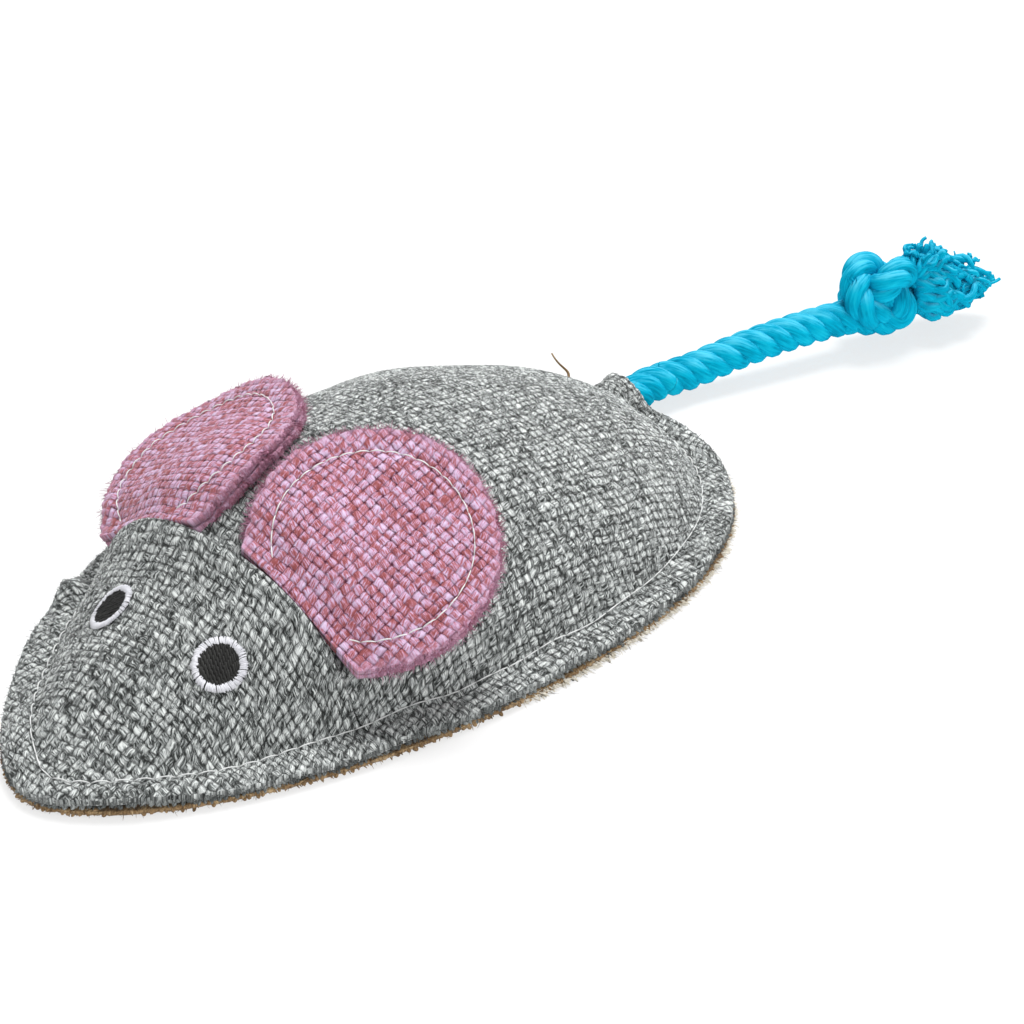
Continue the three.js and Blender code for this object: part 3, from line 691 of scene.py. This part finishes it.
THREAD = strand_material("white_thread", [(0.35, (200, 202, 202)), (0.6, (240, 241, 240))], 0.7, 6.0)
EYE_WHITE = strand_material("eye_thread", [(0.35, (196, 197, 204)), (0.6, (236, 236, 241))], 0.7, 6.0)
BLACK = strand_material("black_thread", [(0.35, (16, 16, 16)), (0.65, (46, 46, 44))], 0.6, 6.0)
BLACK_BASE = strand_material("black_base", [(0.35, (14, 14, 14)), (0.65, (34, 34, 32))], 0.8, 6.0)
GREY_FIBRE = strand_material(
    "grey_fibre", [(0.38, (48, 50, 49)), (0.5, (106, 110, 109)), (0.62, (176, 180, 178))], 0.95, 3.0)
PINK_FIBRE = strand_material(
    "pink_fibre", [(0.38, (142, 80, 98)), (0.5, (178, 130, 154)), (0.62, (204, 170, 188))], 0.95, 3.0)
JUTE_FIBRE = strand_material(
    "jute_fibre", [(0.36, (86, 66, 44)), (0.5, (150, 122, 88)), (0.66, (204, 182, 146))], 0.95, 3.0)
CREAM_FIBRE = strand_material(
    "cream_fibre", [(0.34, (206, 198, 180)), (0.62, (240, 236, 226))], 0.95, 3.0)
# The rope's pale blue is a painted highlight on its upper side
ROPE = strand_material(
    "blue_rope", [(0.34, (0, 124, 156)), (0.5, (0, 164, 198)), (0.66, (20, 184, 212))], 0.95, 2.2,
    sheen=0.0, gloss=0.05, top_highlight=(120, 204, 226))


# Stitches and loose fibres
STITCH_RISE = STITCH_LIFT * np.array([-1.6, -0.1, 0.75, 1.0, 0.75, -0.1, -1.6])
STITCH_RADII = THREAD_RADIUS * np.array([0.6, 0.9, 1, 1, 1, 0.9, 0.6])
FIBRE_SPREAD = 0.7


def stitch_line(bundle, points, normals, pitch):
    """Single stitches along a line, each one dipping into the cloth at both ends."""
    steps = run_along(points)
    count = int(round(steps[-1] / pitch))
    for k in range(count):
        places = (k + 0.5 + np.linspace(-0.5, 0.5, 7) * STITCH_COVER) * steps[-1] / count
        p = np.stack([np.interp(places, steps, points[:, c]) for c in range(3)], 1)
        n = unit(np.stack([np.interp(places, steps, normals[:, c]) for c in range(3)], 1))
        bundle.add(p + n * STITCH_RISE[:, None], STITCH_RADII, 6)


def yarn_ends(bundle, rng, edge, length, radius, fibres):
    """Cut yarn ends along an edge, each one a small cluster of fibres."""
    share = np.array([[0.0], [0.6], [1.0]])
    for root, out, side, high in zip(*edge):
        reach = length * rng.uniform(0.4, 1.1)
        lean = out + side * rng.normal(0, 0.25) + high * rng.normal(0, 0.12)
        for _ in range(fibres):
            start = root + side * rng.uniform(-0.5, 0.5) + high * rng.uniform(-0.4, 0.4) - out * 0.7
            way = unit(lean + side * rng.normal(0, 0.25) + high * rng.normal(0, 0.2))
            size = reach * rng.uniform(0.55, 1.0) + 0.7
            radii = radius * rng.uniform(0.7, 1.2) * np.array([1, 0.9, 0.45])
            bundle.add(start + way * share * size, radii, 4)


def yarn_knobs(bundle, rng, edge, length, radius):
    """The blunt end of each yarn along a cut edge."""
    share = np.array([[0.0], [0.45], [0.8], [1.0]])
    for root, out, side, high in zip(*edge):
        way = unit(out + side * rng.normal(0, 0.3) + high * rng.normal(-0.1, 0.25))
        start = root + side * rng.uniform(-0.3, 0.3) + high * rng.uniform(-0.25, 0.25) - out * 0.8
        size = length * rng.uniform(0.5, 1.15) + 0.8
        radii = radius * rng.uniform(0.7, 1.15) * np.array([1, 1, 0.85, 0.4])
        bundle.add(start + way * share * size, radii, 7)


def loose_fibres(bundle, rng, edge, length, radius, per_root):
    """Single curled fibres along a cut edge."""
    for root, out, side, high in zip(*edge):
        for _ in range(per_root):
            size = length * rng.uniform(0.35, 1.0)
            lean = unit(side * rng.normal(0, FIBRE_SPREAD) + high * rng.normal(0, 0.35) + out)
            curl = side * rng.normal(0, 0.45) + high * rng.normal(0, 0.3)
            start = root + side * rng.uniform(-0.5, 0.5) + high * rng.uniform(-0.35, 0.35) - out * 0.5
            share = np.linspace(0, 1, 4)[:, None]
            p = start + lean * share * (size + 0.5) + curl * (share ** 2) * size * 0.6
            bundle.add(p, radius * rng.uniform(0.6, 1.2) * np.array([1, 0.95, 0.8, 0.35]), 4)


# Tail
ROPE_SAG, ROPE_SWELL = 1.5, 1.06


def tail_lines():
    pivot = np.array([0, RUMP_Y + GAP + ROPE_RADIUS, ROPE_Z])
    axis = np.array([math.sin(TAIL_HEADING), math.cos(TAIL_HEADING), 0])
    lift = pivot + axis * TAIL_ROOT_LENGTH
    knot_axis = np.array([math.sin(KNOT_HEADING), math.cos(KNOT_HEADING), 0])
    end = KNOT_CENTRE - knot_axis * (KNOT_HALF_LENGTH + GAP)
    bend = end - knot_axis * 0.45 * np.linalg.norm(end - lift)
    t = np.linspace(0, 1, 60)[:, None]
    curve = (1 - t) ** 2 * lift + 2 * (1 - t) * t * bend + t * t * end
    inner = np.array([0, RUMP_Y - 7, ROPE_Z])
    line = np.vstack([inner + np.linspace(0, 1, 12)[:, None] * (pivot - inner), lift[None], curve[1:]])
    line = relax(resample(line, 260), 60)
    line = resample(np.vstack([line, KNOT_CENTRE - knot_axis * 7.0]), 260)
    line[:, 2] -= ROPE_SAG * smoothstep(line[:, 1], pivot[1], KNOT_CENTRE[1])
    return line, pivot, lift, knot_axis, axis


TAIL_LINE, TAIL_PIVOT, LIFT_PIVOT, KNOT_AXIS, ROOT_AXIS = tail_lines()
STRAND_RADIUS = ROPE_RADIUS / 1.8
STRAND_ORBIT = ROPE_RADIUS - STRAND_RADIUS
ROPE_LAY = 10.5


def rope_strands(bundle, line, first=0, last=None, thin=1.0):
    """Three strands laid right-handed round a line, from its first to its last point."""
    tangent, side, _ = frames_along(line)
    along = run_along(line)
    across = np.cross(tangent, side)
    for k in range(3):
        angle = 2 * np.pi * (along / ROPE_LAY + k / 3)
        offset = side * np.cos(angle)[:, None] + across * np.sin(angle)[:, None]
        bundle.add((line + offset * STRAND_ORBIT * thin)[first:last], STRAND_RADIUS * thin, 12)


def rope_piece(name, first, last):
    bundle = Bundle()
    rope_strands(bundle, TAIL_LINE, first, last, ROPE_SWELL)
    return bundle.build(name, ROPE)


CUT = int(np.argmin(np.linalg.norm(TAIL_LINE - (TAIL_PIVOT + ROOT_AXIS * 3.6), axis=1)))
rope_root = rope_piece("rope_root", 0, CUT + 1)
rope_tail = rope_piece("rope_tail", CUT, None)


def knot_place(local):
    """Points given along the rope, to its right and up from the knot's centre."""
    right = np.array([KNOT_AXIS[1], -KNOT_AXIS[0], 0])
    local = np.asarray(local, float)
    up = np.array([0, 0, 1.0])
    return KNOT_CENTRE + local[:, :1] * KNOT_AXIS + local[:, 1:2] * right + local[:, 2:3] * up


KNOT_LOOP, KNOT_DEPTH = 2.0, 3.3
KNOT_SHIFT = np.array([-2.0, 0, 1.8])


def knot_line():
    """An overhand knot: two turns round each other, with the rope led in and out below."""
    t = np.linspace(0.3, 2 * np.pi - 0.3, 240)
    reach = KNOT_LOOP * (2 + np.cos(3 * t))
    turns = np.stack([reach * np.sin(2 * t), KNOT_DEPTH * np.sin(3 * t), -reach * np.cos(2 * t)], 1)
    turns = turns + KNOT_SHIFT
    lead = [(-10, 0, -1.5), (-8.5, 0.2, -1.6), (-6, 0.9, -1.9), (-2.8, 2, -2.6)]
    leave = [(0.5, -2, -2.2), (4.5, -0.9, -1.0), (6.5, -0.3, -0.2), (8.0, 0, 0.3)]
    return relax(resample(np.vstack([lead, turns, leave]), 320), 50)


def knot_piece():
    bundle = Bundle()
    rope_strands(bundle, knot_place(knot_line()), thin=0.96)
    return bundle.build("rope_knot", ROPE)


FRAY_REACH, FRAY_STRANDS, GOLDEN_ANGLE = 19.0, 150, 2.399963
TUFT_STRANDS, KNOT_WISPS, FRAY_WISPS, FULL_TURN = 60, 14, 60, 6.28


def crimped_strand(bundle, rng, local, thick, crimp, turns, tip):
    """A loosened strand, given in the knot's axes, with the waves left by the lay of the rope."""
    points = knot_place(np.stack(local, 1))
    share = np.linspace(0, 1, len(points))
    _, side, up = frames_along(points)
    turn, pace = rng.uniform(0, FULL_TURN), turns * rng.uniform(0.8, 1.25)
    loose = crimp * np.minimum(1, share * 3)
    line = points + side * (loose * np.sin(share * pace + turn))[:, None]
    line = line + up * (loose * np.cos(share * pace * 0.83 + 2 * turn))[:, None]
    line[:, 2] = np.maximum(line[:, 2], 0.6)
    bundle.add(line, thick * (1 - (1 - tip) * share ** 2), 7)


def fray_piece():
    bundle = Bundle()
    rng = np.random.default_rng(11)
    share = np.linspace(0, 1, 26)
    for k in range(FRAY_STRANDS):
        ring = math.sqrt((k + 0.5) / FRAY_STRANDS)
        size = FRAY_REACH * rng.uniform(0.5, 1.08) * (1.08 - 0.34 * ring)
        spread = ring * (3.0 + 2.4 * np.sin(np.pi * share ** 0.8) + rng.uniform(-0.8, 0.6) * share)
        twist = k * GOLDEN_ANGLE + rng.normal(0, 0.7) * share
        forward = KNOT_HALF_LENGTH - 3.5 + size * share
        local = (forward, spread * np.cos(twist), 1.0 + spread * np.sin(twist) - 2.2 * share ** 1.5)
        crimped_strand(bundle, rng, local, rng.uniform(0.5, 0.95), rng.uniform(0.45, 0.95), 15, 0.6)
    for _ in range(TUFT_STRANDS):
        lean, rise = rng.normal(0, 1.6), rng.uniform(3.0, 6.2)
        reach, begin = rng.uniform(0.0, 8.0), rng.uniform(-2, 2)
        local = (4.5 + reach * share, begin + lean * share, 2.5 + rise * np.sin(share * 1.45))
        crimped_strand(bundle, rng, local, rng.uniform(0.5, 0.85), rng.uniform(0.35, 0.75), 11, 0.6)
    for _ in range(KNOT_WISPS):
        local = (-7.5 - rng.uniform(0.5, 2) * share, rng.normal(0, 0.9) + 0 * share,
                 4.0 + rng.uniform(2, 3.6) * share)
        crimped_strand(bundle, rng, local, rng.uniform(0.15, 0.3), 0.3, 7, 0.4)
    for _ in range(FRAY_WISPS):
        angle, begin = rng.uniform(0, FULL_TURN), rng.uniform(0, 11)
        size, wide = rng.uniform(1.2, 2.6), 4.2 - begin * 0.08
        local = (
            KNOT_HALF_LENGTH + begin + rng.uniform(0.1, 0.9) * size * share,
            wide * np.cos(angle) + size * 0.45 * share * np.cos(angle + rng.normal(0, 0.8)),
            0.3 + wide * np.sin(angle) + size * 0.45 * share * np.sin(angle + rng.normal(0, 0.8)),
        )
        crimped_strand(bundle, rng, local, rng.uniform(0.2, 0.4), 0.3, 7, 0.5)
    return bundle.build("rope_fray", ROPE)


rope_knot = knot_piece()
rope_fray = fray_piece()

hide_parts("tail_stub", "tail_root")
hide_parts("tail_rope")
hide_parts("tail_knot")
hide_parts("tail_fray")
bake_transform(rope_root)
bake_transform(rope_tail)
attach(rope_knot, "tail")
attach(rope_fray, "tail")


# Body
body_back = body_panel("body_back", False, GREY_CLOTH)
body_face = body_panel("body_face", True, GREY_CLOTH)
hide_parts("back_panel", "stuffing", "catnip_filling")
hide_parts("face_panel")
for piece in (body_back, body_face):
    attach(piece, "mouse")


def belly_piece():
    y, x = np.meshgrid(np.arange(-72, 72.1, BELLY_STEP), np.arange(-46, 46.1, BELLY_STEP), indexing="ij")
    u, v = wobble(x * 0.75, y * 0.75)
    outline = closed_outline(-BELLY_RIM)
    kept = snap_grid(x, y, in_polygon(x, y, outline), outline)
    inset = outline_distance(x, y)
    edge = 1 - smoothstep(inset, 0.0, 2.0)
    x = x + nose_pull(x, y) * (1 - smoothstep(inset, 0, PULL_REACH))
    top = np.stack([x, y, np.full_like(x, BELLY_THICKNESS)], -1)
    bottom = np.stack([x, y, 0.4 - 0.4 * weave_relief(u, v) + 0.6 * edge], -1)
    return slab("belly_cloth", top, bottom, kept, np.stack([u, v], -1), JUTE_CLOTH, edge)


def plan_area(outline):
    x, y = outline[:, 0], outline[:, 1]
    return abs(float(np.sum(x * np.roll(y, -1) - y * np.roll(x, -1)))) / 2


belly = belly_piece()
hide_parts("belly_panel")
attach(belly, "mouse")


def edge_frames(inset):
    """Places along the cut edge, with the ways out, along and up."""
    line = closed_outline(inset)
    line = resample(np.vstack([line, line[:1]]), int(path_length(line) / EDGE_PITCH) + 1)[:-1]
    tangent = unit(np.roll(line, -1, 0) - np.roll(line, 1, 0))
    outward = np.stack([tangent[:, 1], -tangent[:, 0]], 1)
    flat = np.zeros((len(line), 1))
    line[:, 0] += nose_pull(line[:, 0], line[:, 1])
    up = np.tile([0.0, 0.0, 1.0], (len(line), 1))
    return line, np.hstack([outward, flat]), np.hstack([tangent, flat]), up


def edge_fringe():
    rng = np.random.default_rng(3)
    line, *ways = edge_frames(-RIM_GROW)
    pull = tail_pull(line[:, 0], line[:, 1])
    roots = np.column_stack([line, form_z(line[:, 0], line[:, 1]) - 0.75 - TAIL_DIP * pull])
    roots[:, 1] -= TAIL_DRAW * pull
    bundle = Bundle()
    for drop in (0.0, 0.55):
        edge = (roots - np.array([0, 0, drop]), *ways)
        yarn_knobs(bundle, rng, edge, *GREY_KNOBS)
        yarn_ends(bundle, rng, edge, *GREY_ENDS)
    loose_fibres(bundle, rng, (roots, *ways), *GREY_LOOSE)
    grey = bundle.build("edge_fringe", GREY_FIBRE)
    line, *ways = edge_frames(-BELLY_RIM)
    roots = np.column_stack([line, np.full(len(line), 0.85)])
    edge = (roots, *ways)
    bundle = Bundle()
    yarn_knobs(bundle, rng, edge, *JUTE_KNOBS)
    yarn_ends(bundle, rng, edge, *JUTE_ENDS)
    loose_fibres(bundle, rng, edge, *JUTE_LOOSE)
    bundle.add(bezier(*STRAY_YARN, 14), 0.3 * (1 - 0.5 * np.linspace(0, 1, 14)), 6)
    jute = bundle.build("belly_fringe", JUTE_FIBRE)
    rear = (line[:, 0] > 12) & (line[:, 1] > 20) | (line[:, 0] > 39) & (line[:, 1] > -8)
    roots[:, 2] = 0.45
    edge = [values[rear] for values in edge]
    bundle = Bundle()
    yarn_ends(bundle, rng, edge, *CREAM_ENDS)
    loose_fibres(bundle, rng, edge, *CREAM_LOOSE)
    cream = bundle.build("belly_fluff", CREAM_FIBRE)
    for piece, slot in ((grey, "body_cloth"), (jute, "belly_cloth"), (cream, "belly_cloth")):
        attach(piece, "mouse")
    plan_area(closed_outline(-BELLY_RIM)) * MM * MM


def edge_stitches():
    left = inset_half(seam_inset(HALF[:, 0], HALF[:, 1]))
    right = inset_half(seam_inset(-HALF[:, 0], HALF[:, 1]))
    line = np.vstack([right[::-1] * np.array([-1, 1]), left[1:]])
    line = line[(np.abs(line[:, 0]) > 7) | (line[:, 1] < 0)]
    line = resample(line, 1500)
    z = form_z(line[:, 0], line[:, 1])
    normal = form_normal(line[:, 0], line[:, 1])
    bundle = Bundle()
    points = np.column_stack([line, z]) + normal * THREAD_SEAT
    stitch_line(bundle, points, normal, EDGE_STITCH_PITCH)
    piece = bundle.build("edge_stitches", THREAD)
    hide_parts("edge_stitching")
    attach(piece, "mouse")


edge_stitches()
edge_fringe()

# Ears, drawn for the left side and mirrored
ACROSS = np.array([math.cos(EAR_DROOP), 0, -math.sin(EAR_DROOP)])
ALONG = np.array([0, math.cos(EAR_TILT), math.sin(EAR_TILT)])
ALONG = unit(ALONG - ACROSS * (ALONG @ ACROSS))
FACE = np.cross(ACROSS, ALONG)


def solid_z(x, y):
    return FLANGE_TOP + np.maximum(dome_height(x, y), arch_height(x, y))


FOOT = np.array([EAR_X, EAR_Y, float(solid_z(np.array(EAR_X), np.array(EAR_Y)))])


def ear_point(u, v, height):
    return FOOT + u[..., None] * ACROSS + v[..., None] * ALONG + height[..., None] * FACE


def ear_clear(u, v):
    height = np.zeros_like(u)
    for _ in range(6):
        p = ear_point(u, v, height)
        height = height + (solid_z(p[..., 0], p[..., 1]) + EAR_SEAT - p[..., 2]) * FACE[2]
    return height


def ear_height(u, v, sag):
    share = np.clip(1 - v / (EAR_RADIUS + EAR_CENTRE_RISE), 0, 1)
    drop = np.minimum(ear_clear(u, 0 * u), 0)
    drape = -EAR_DRAPE * (1 - np.exp(drop / EAR_DRAPE))
    rest = np.maximum(drape * share ** 1.5 - sag * smoothstep(v, 5, 30), ear_clear(u, v))
    tip = np.hypot(u, v - EAR_CENTRE_RISE) / EAR_RADIUS
    flare = 0.5 * np.sin(4 * np.arctan2(v - EAR_CENTRE_RISE, u) + 0.6) * np.clip(tip, 0, 1) ** 3
    return rest + flare * smoothstep(v, 3, 12) - 1.6 * np.exp(-(np.maximum(v, 0) / 3.5) ** 2)


EAR_START = -math.asin(EAR_CENTRE_RISE / EAR_RADIUS)
EAR_CORNER_CUT, EAR_BASE_DEPTH = 1.5, 1.5


def ear_outline(grow):
    angle = np.linspace(EAR_START, math.pi - EAR_START, 160)
    ragged = 0.18 * np.sin(23 * angle) + 0.12 * np.sin(41 * angle + 1)
    radius = EAR_RADIUS + grow + ragged
    arc = np.stack([radius * np.cos(angle), EAR_CENTRE_RISE + radius * np.sin(angle)], 1)
    half = EAR_RADIUS * math.cos(EAR_START) - EAR_CORNER_CUT
    base = np.stack([np.linspace(-half, half, 40), np.full(40, -EAR_BASE_DEPTH)], 1)
    return np.vstack([arc, base])


EAR_GRAIN = math.radians(4)
EAR_SAG = {1: 0.0, -1: 2.2}
EAR_YARN, EAR_TRIM = 1.0, -0.6
EAR_BACK_TRIM = EAR_TRIM + 0.2
EAR_STITCH_START = -1.02


def mirror(points, side):
    return points * np.array([side, 1, 1])


def ear_sheet(name, side, level, thick, outward, grow):
    step = YARN / EAR_YARN_SAMPLES
    v, u = np.meshgrid(np.arange(-3, 38, step), np.arange(-23, 23.01, step), indexing="ij")
    s = u * math.cos(EAR_GRAIN) + v * math.sin(EAR_GRAIN)
    t = -u * math.sin(EAR_GRAIN) + v * math.cos(EAR_GRAIN)
    outline = ear_outline(grow)
    kept = snap_grid(u, v, in_polygon(u, v, outline), outline)
    a, b = wobble(s / EAR_YARN, t / EAR_YARN)
    a += unevenness(a.shape, 43, 2.5, UNEVEN * 0.5)
    b += unevenness(b.shape, 44, 2.5, UNEVEN * 0.5)
    relief = WEAVE_RELIEF * weave_relief(a, b)
    inset = EAR_RADIUS - np.hypot(u, v - EAR_CENTRE_RISE)
    dent = np.exp(-((inset - EAR_STITCH_INSET) / DENT_WIDTH) ** 2) * (v > 1)
    edge = 1 - smoothstep(inset, 0.2, 2.2)
    high = ear_height(u, v, EAR_SAG[side])
    raise_top = (relief if outward > 0 else 0) - EAR_DENT * dent * (outward > 0)
    raise_low = relief if outward < 0 else 0
    top = mirror(ear_point(u, v, high + level + thick + raise_top), side)
    low = mirror(ear_point(u, v, high + level - raise_low), side)
    return slab(name, top, low, kept, np.stack([a, b], -1), PINK_CLOTH, edge, flip=side < 0)


def ear_pieces(word, side, body):
    thick = EAR_THICKNESS - WEAVE_RELIEF
    front = ear_sheet(f"ear_{word}_front_cloth", side, EAR_THICKNESS + GAP, thick, 1, EAR_TRIM)
    back = ear_sheet(f"ear_{word}_back_cloth", side, WEAVE_RELIEF, thick, -1, EAR_BACK_TRIM)
    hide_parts(f"ear_{word}_front")
    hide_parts(f"ear_{word}_back")
    angle = np.linspace(EAR_STITCH_START, math.pi - EAR_STITCH_START, 500)
    radius = EAR_RADIUS - EAR_STITCH_INSET
    u, v = radius * np.cos(angle), EAR_CENTRE_RISE + radius * np.sin(angle)
    level = ear_height(u, v, EAR_SAG[side]) + EAR_THICKNESS + GAP + thick + THREAD_SEAT
    normals = np.tile(FACE, (len(u), 1))
    bundle = Bundle()
    stitch_line(bundle, mirror(ear_point(u, v, level), side), mirror(normals, side), EAR_STITCH_PITCH)
    stitches = bundle.build(f"ear_{word}_stitches", THREAD)
    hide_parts(f"ear_{word}_stitching")
    rng = np.random.default_rng(21 if side > 0 else 22)
    angle = np.linspace(EAR_START, math.pi - EAR_START, 84)
    bundle = Bundle()
    layers = ((EAR_THICKNESS + GAP + 0.55, EAR_RADIUS + EAR_TRIM), (0.85, EAR_RADIUS + EAR_BACK_TRIM))
    for level, radius in layers:
        u, v = radius * np.cos(angle), EAR_CENTRE_RISE + radius * np.sin(angle)
        root = mirror(ear_point(u, v, ear_height(u, v, EAR_SAG[side]) + level), side)
        out = mirror(np.cos(angle)[:, None] * ACROSS + np.sin(angle)[:, None] * ALONG, side)
        along = mirror(-np.sin(angle)[:, None] * ACROSS + np.cos(angle)[:, None] * ALONG, side)
        edge = (root, out, along, mirror(np.tile(FACE, (len(u), 1)), side))
        yarn_knobs(bundle, rng, edge, *PINK_KNOBS)
        yarn_ends(bundle, rng, edge, *PINK_ENDS)
        loose_fibres(bundle, rng, edge, *PINK_LOOSE)
    fringe = bundle.build(f"ear_{word}_fringe", PINK_FIBRE)
    for piece in (front, back, stitches, fringe):
        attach(piece, body)


ear_pieces("left", 1, "ear_left")
ear_pieces("right", -1, "ear_right")


# Eyes in satin stitch
FILL_STITCH, FILL_PITCH, FILL_RADIUS, FILL_TURN = 1.5, 0.3, 0.15, math.radians(-38)
BASE_LIFT, BASE_RADIUS = 0.35, 0.3
RING_STITCHES, RING_RADIUS = 190, 0.11
RING_RISE = np.array([0.55, 0.72, 0.8, 0.8, 0.7, 0.5])
EYE_SHIFT = {1: (0.6, -0.4), -1: (-1.0, -0.9)}
EYE_NARROW = {1: 0.0, -1: 0.26}
EYE_NARROW_WAY = (0.83, 0.55)


def eye_pieces(word, side):
    x, y = np.array([EYE_X, EYE_Y]) + EYE_SHIFT[side]
    normal = mirror(form_normal(x * side, y), side)
    centre = np.array([x, y, float(form_z(x * side, y))])
    across = unit(np.cross(np.array([0, 1.0, 0]), normal))
    along = np.cross(normal, across)

    def on_face(a, b, height):
        a, b = np.asarray(a), np.asarray(b)
        less = EYE_NARROW[side] * (a * EYE_NARROW_WAY[0] + b * EYE_NARROW_WAY[1])
        a, b = a - less * EYE_NARROW_WAY[0], b - less * EYE_NARROW_WAY[1]
        p = centre + a[:, None] * across + b[:, None] * along
        for _ in range(4):
            p = p + normal * ((form_z(p[:, 0] * side, p[:, 1]) - p[:, 2]) * normal[2])[:, None]
        return mirror(p + normal * np.asarray(height)[:, None], side)

    rng = np.random.default_rng(31 if side > 0 else 32)
    cos, sin = math.cos(FILL_TURN), math.sin(FILL_TURN)

    def turned(a, place):
        """From the run of the stitches to the axes of the eye."""
        return a * cos - place * sin, a * sin + place * cos

    base, pupil = Bundle(), Bundle()
    for row, place in enumerate(np.arange(-PUPIL_RADIUS, PUPIL_RADIUS + 0.01, FILL_PITCH)):
        half = math.sqrt(max(PUPIL_RADIUS ** 2 - place ** 2, 0.05))
        a = np.linspace(-half, half, 12)
        base.add(on_face(*turned(a, place), np.full(12, BASE_LIFT)), BASE_RADIUS, 6)
        begin = -half - FILL_STITCH * (row * 0.37 % 1)
        while begin < half:
            a = np.linspace(max(begin, -half - 0.1), min(begin + FILL_STITCH, half + 0.1), 6)
            rise = 0.52 + 0.16 * np.sin(np.linspace(0, np.pi, 6)) + rng.uniform(-0.04, 0.06)
            skew = place + rng.normal(0, 0.05) + np.linspace(-0.07, 0.07, 6)
            pupil.add(on_face(*turned(a, skew), rise), FILL_RADIUS, 6)
            begin += FILL_STITCH
    ring = Bundle()
    for k in range(RING_STITCHES):
        angle = 2 * np.pi * k / RING_STITCHES + rng.normal(0, 0.012)
        inner = PUPIL_RADIUS + rng.uniform(-0.3, 0.1)
        outer = PUPIL_RADIUS + EYE_RING_WIDTH + rng.uniform(-0.22, 0.1)
        r = np.linspace(inner, outer, 6)
        lean = angle + np.linspace(-0.03, 0.03, 6) + rng.normal(0, 0.02)
        height = RING_RISE + rng.uniform(-0.04, 0.04)
        ring.add(on_face(r * np.cos(lean), r * np.sin(lean), height), RING_RADIUS, 5)
    threads = (
        (base, "base", BLACK_BASE, "eye_black"), (pupil, "pupil", BLACK, "eye_black"),
        (ring, "ring", EYE_WHITE, "eye_white"),
    )
    for bundle, kind, material, slot in threads:
        piece = bundle.build(f"eye_{word}_{kind}_thread", material)
        if kind != "base":
            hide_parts(f"eye_{word}_{kind}")
        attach(piece, "mouse")


eye_pieces("left", 1)
eye_pieces("right", -1)


# Floor and light, in metres and watts: place, size and power of each lamp
FLOOR_TONE, FLOOR_GLOW, WORLD_STRENGTH = 0.95, 0.7, 0.52
LAMPS = {"key": ((-0.1, 0.3, 0.75), 0.4, 6.6), "fill": ((0.8, -0.25, 0.4), 0.6, 2.6)}
LAMP_AIM = (0, 0, 0.01)


def add_floor():
    bpy.ops.mesh.primitive_plane_add(size=6, location=(0, 0, 0))
    floor = bpy.context.object
    floor.name = "floor"
    n = Nodes("floor")
    n.link((FLOOR_TONE, FLOOR_TONE, FLOOR_TONE, 1), n.shader.inputs["Base Color"])
    n.link(1, n.shader.inputs["Roughness"])
    plain = n.shader.outputs[0]
    glow = n.node("Emission", {"Color": (1, 1, 1, 1)}).outputs[0]
    seen = n.node("MixShader", {0: FLOOR_GLOW, 1: plain, 2: glow}).outputs[0]
    by_camera = n.node("LightPath").outputs["Is Camera Ray"]
    mixed = n.node("MixShader", {0: by_camera, 1: plain, 2: seen}).outputs[0]
    n.link(mixed, n.tree.nodes["Material Output"].inputs["Surface"])
    floor.data.materials.append(n.material)


def add_lamp(name, place, size, power):
    data = bpy.data.lights.new(name, "AREA")
    data.shape = "DISK"
    data.size = size
    data.energy = power
    lamp = bpy.data.objects.new(name, data)
    lamp.location = place
    lamp.rotation_euler = (Vector(LAMP_AIM) - Vector(place)).to_track_quat("-Z", "Y").to_euler()
    bpy.context.scene.collection.objects.link(lamp)


def add_light():
    world = bpy.data.worlds.new("world")
    bpy.context.scene.world = world
    world.use_nodes = True
    background = world.node_tree.nodes["Background"].inputs
    background["Color"].default_value = (1, 1, 1, 1)
    background["Strength"].default_value = WORLD_STRENGTH
    for name, lamp in LAMPS.items():
        add_lamp(name, *lamp)


add_floor()
add_light()
bpy.context.scene.view_settings.view_transform = "Standard"
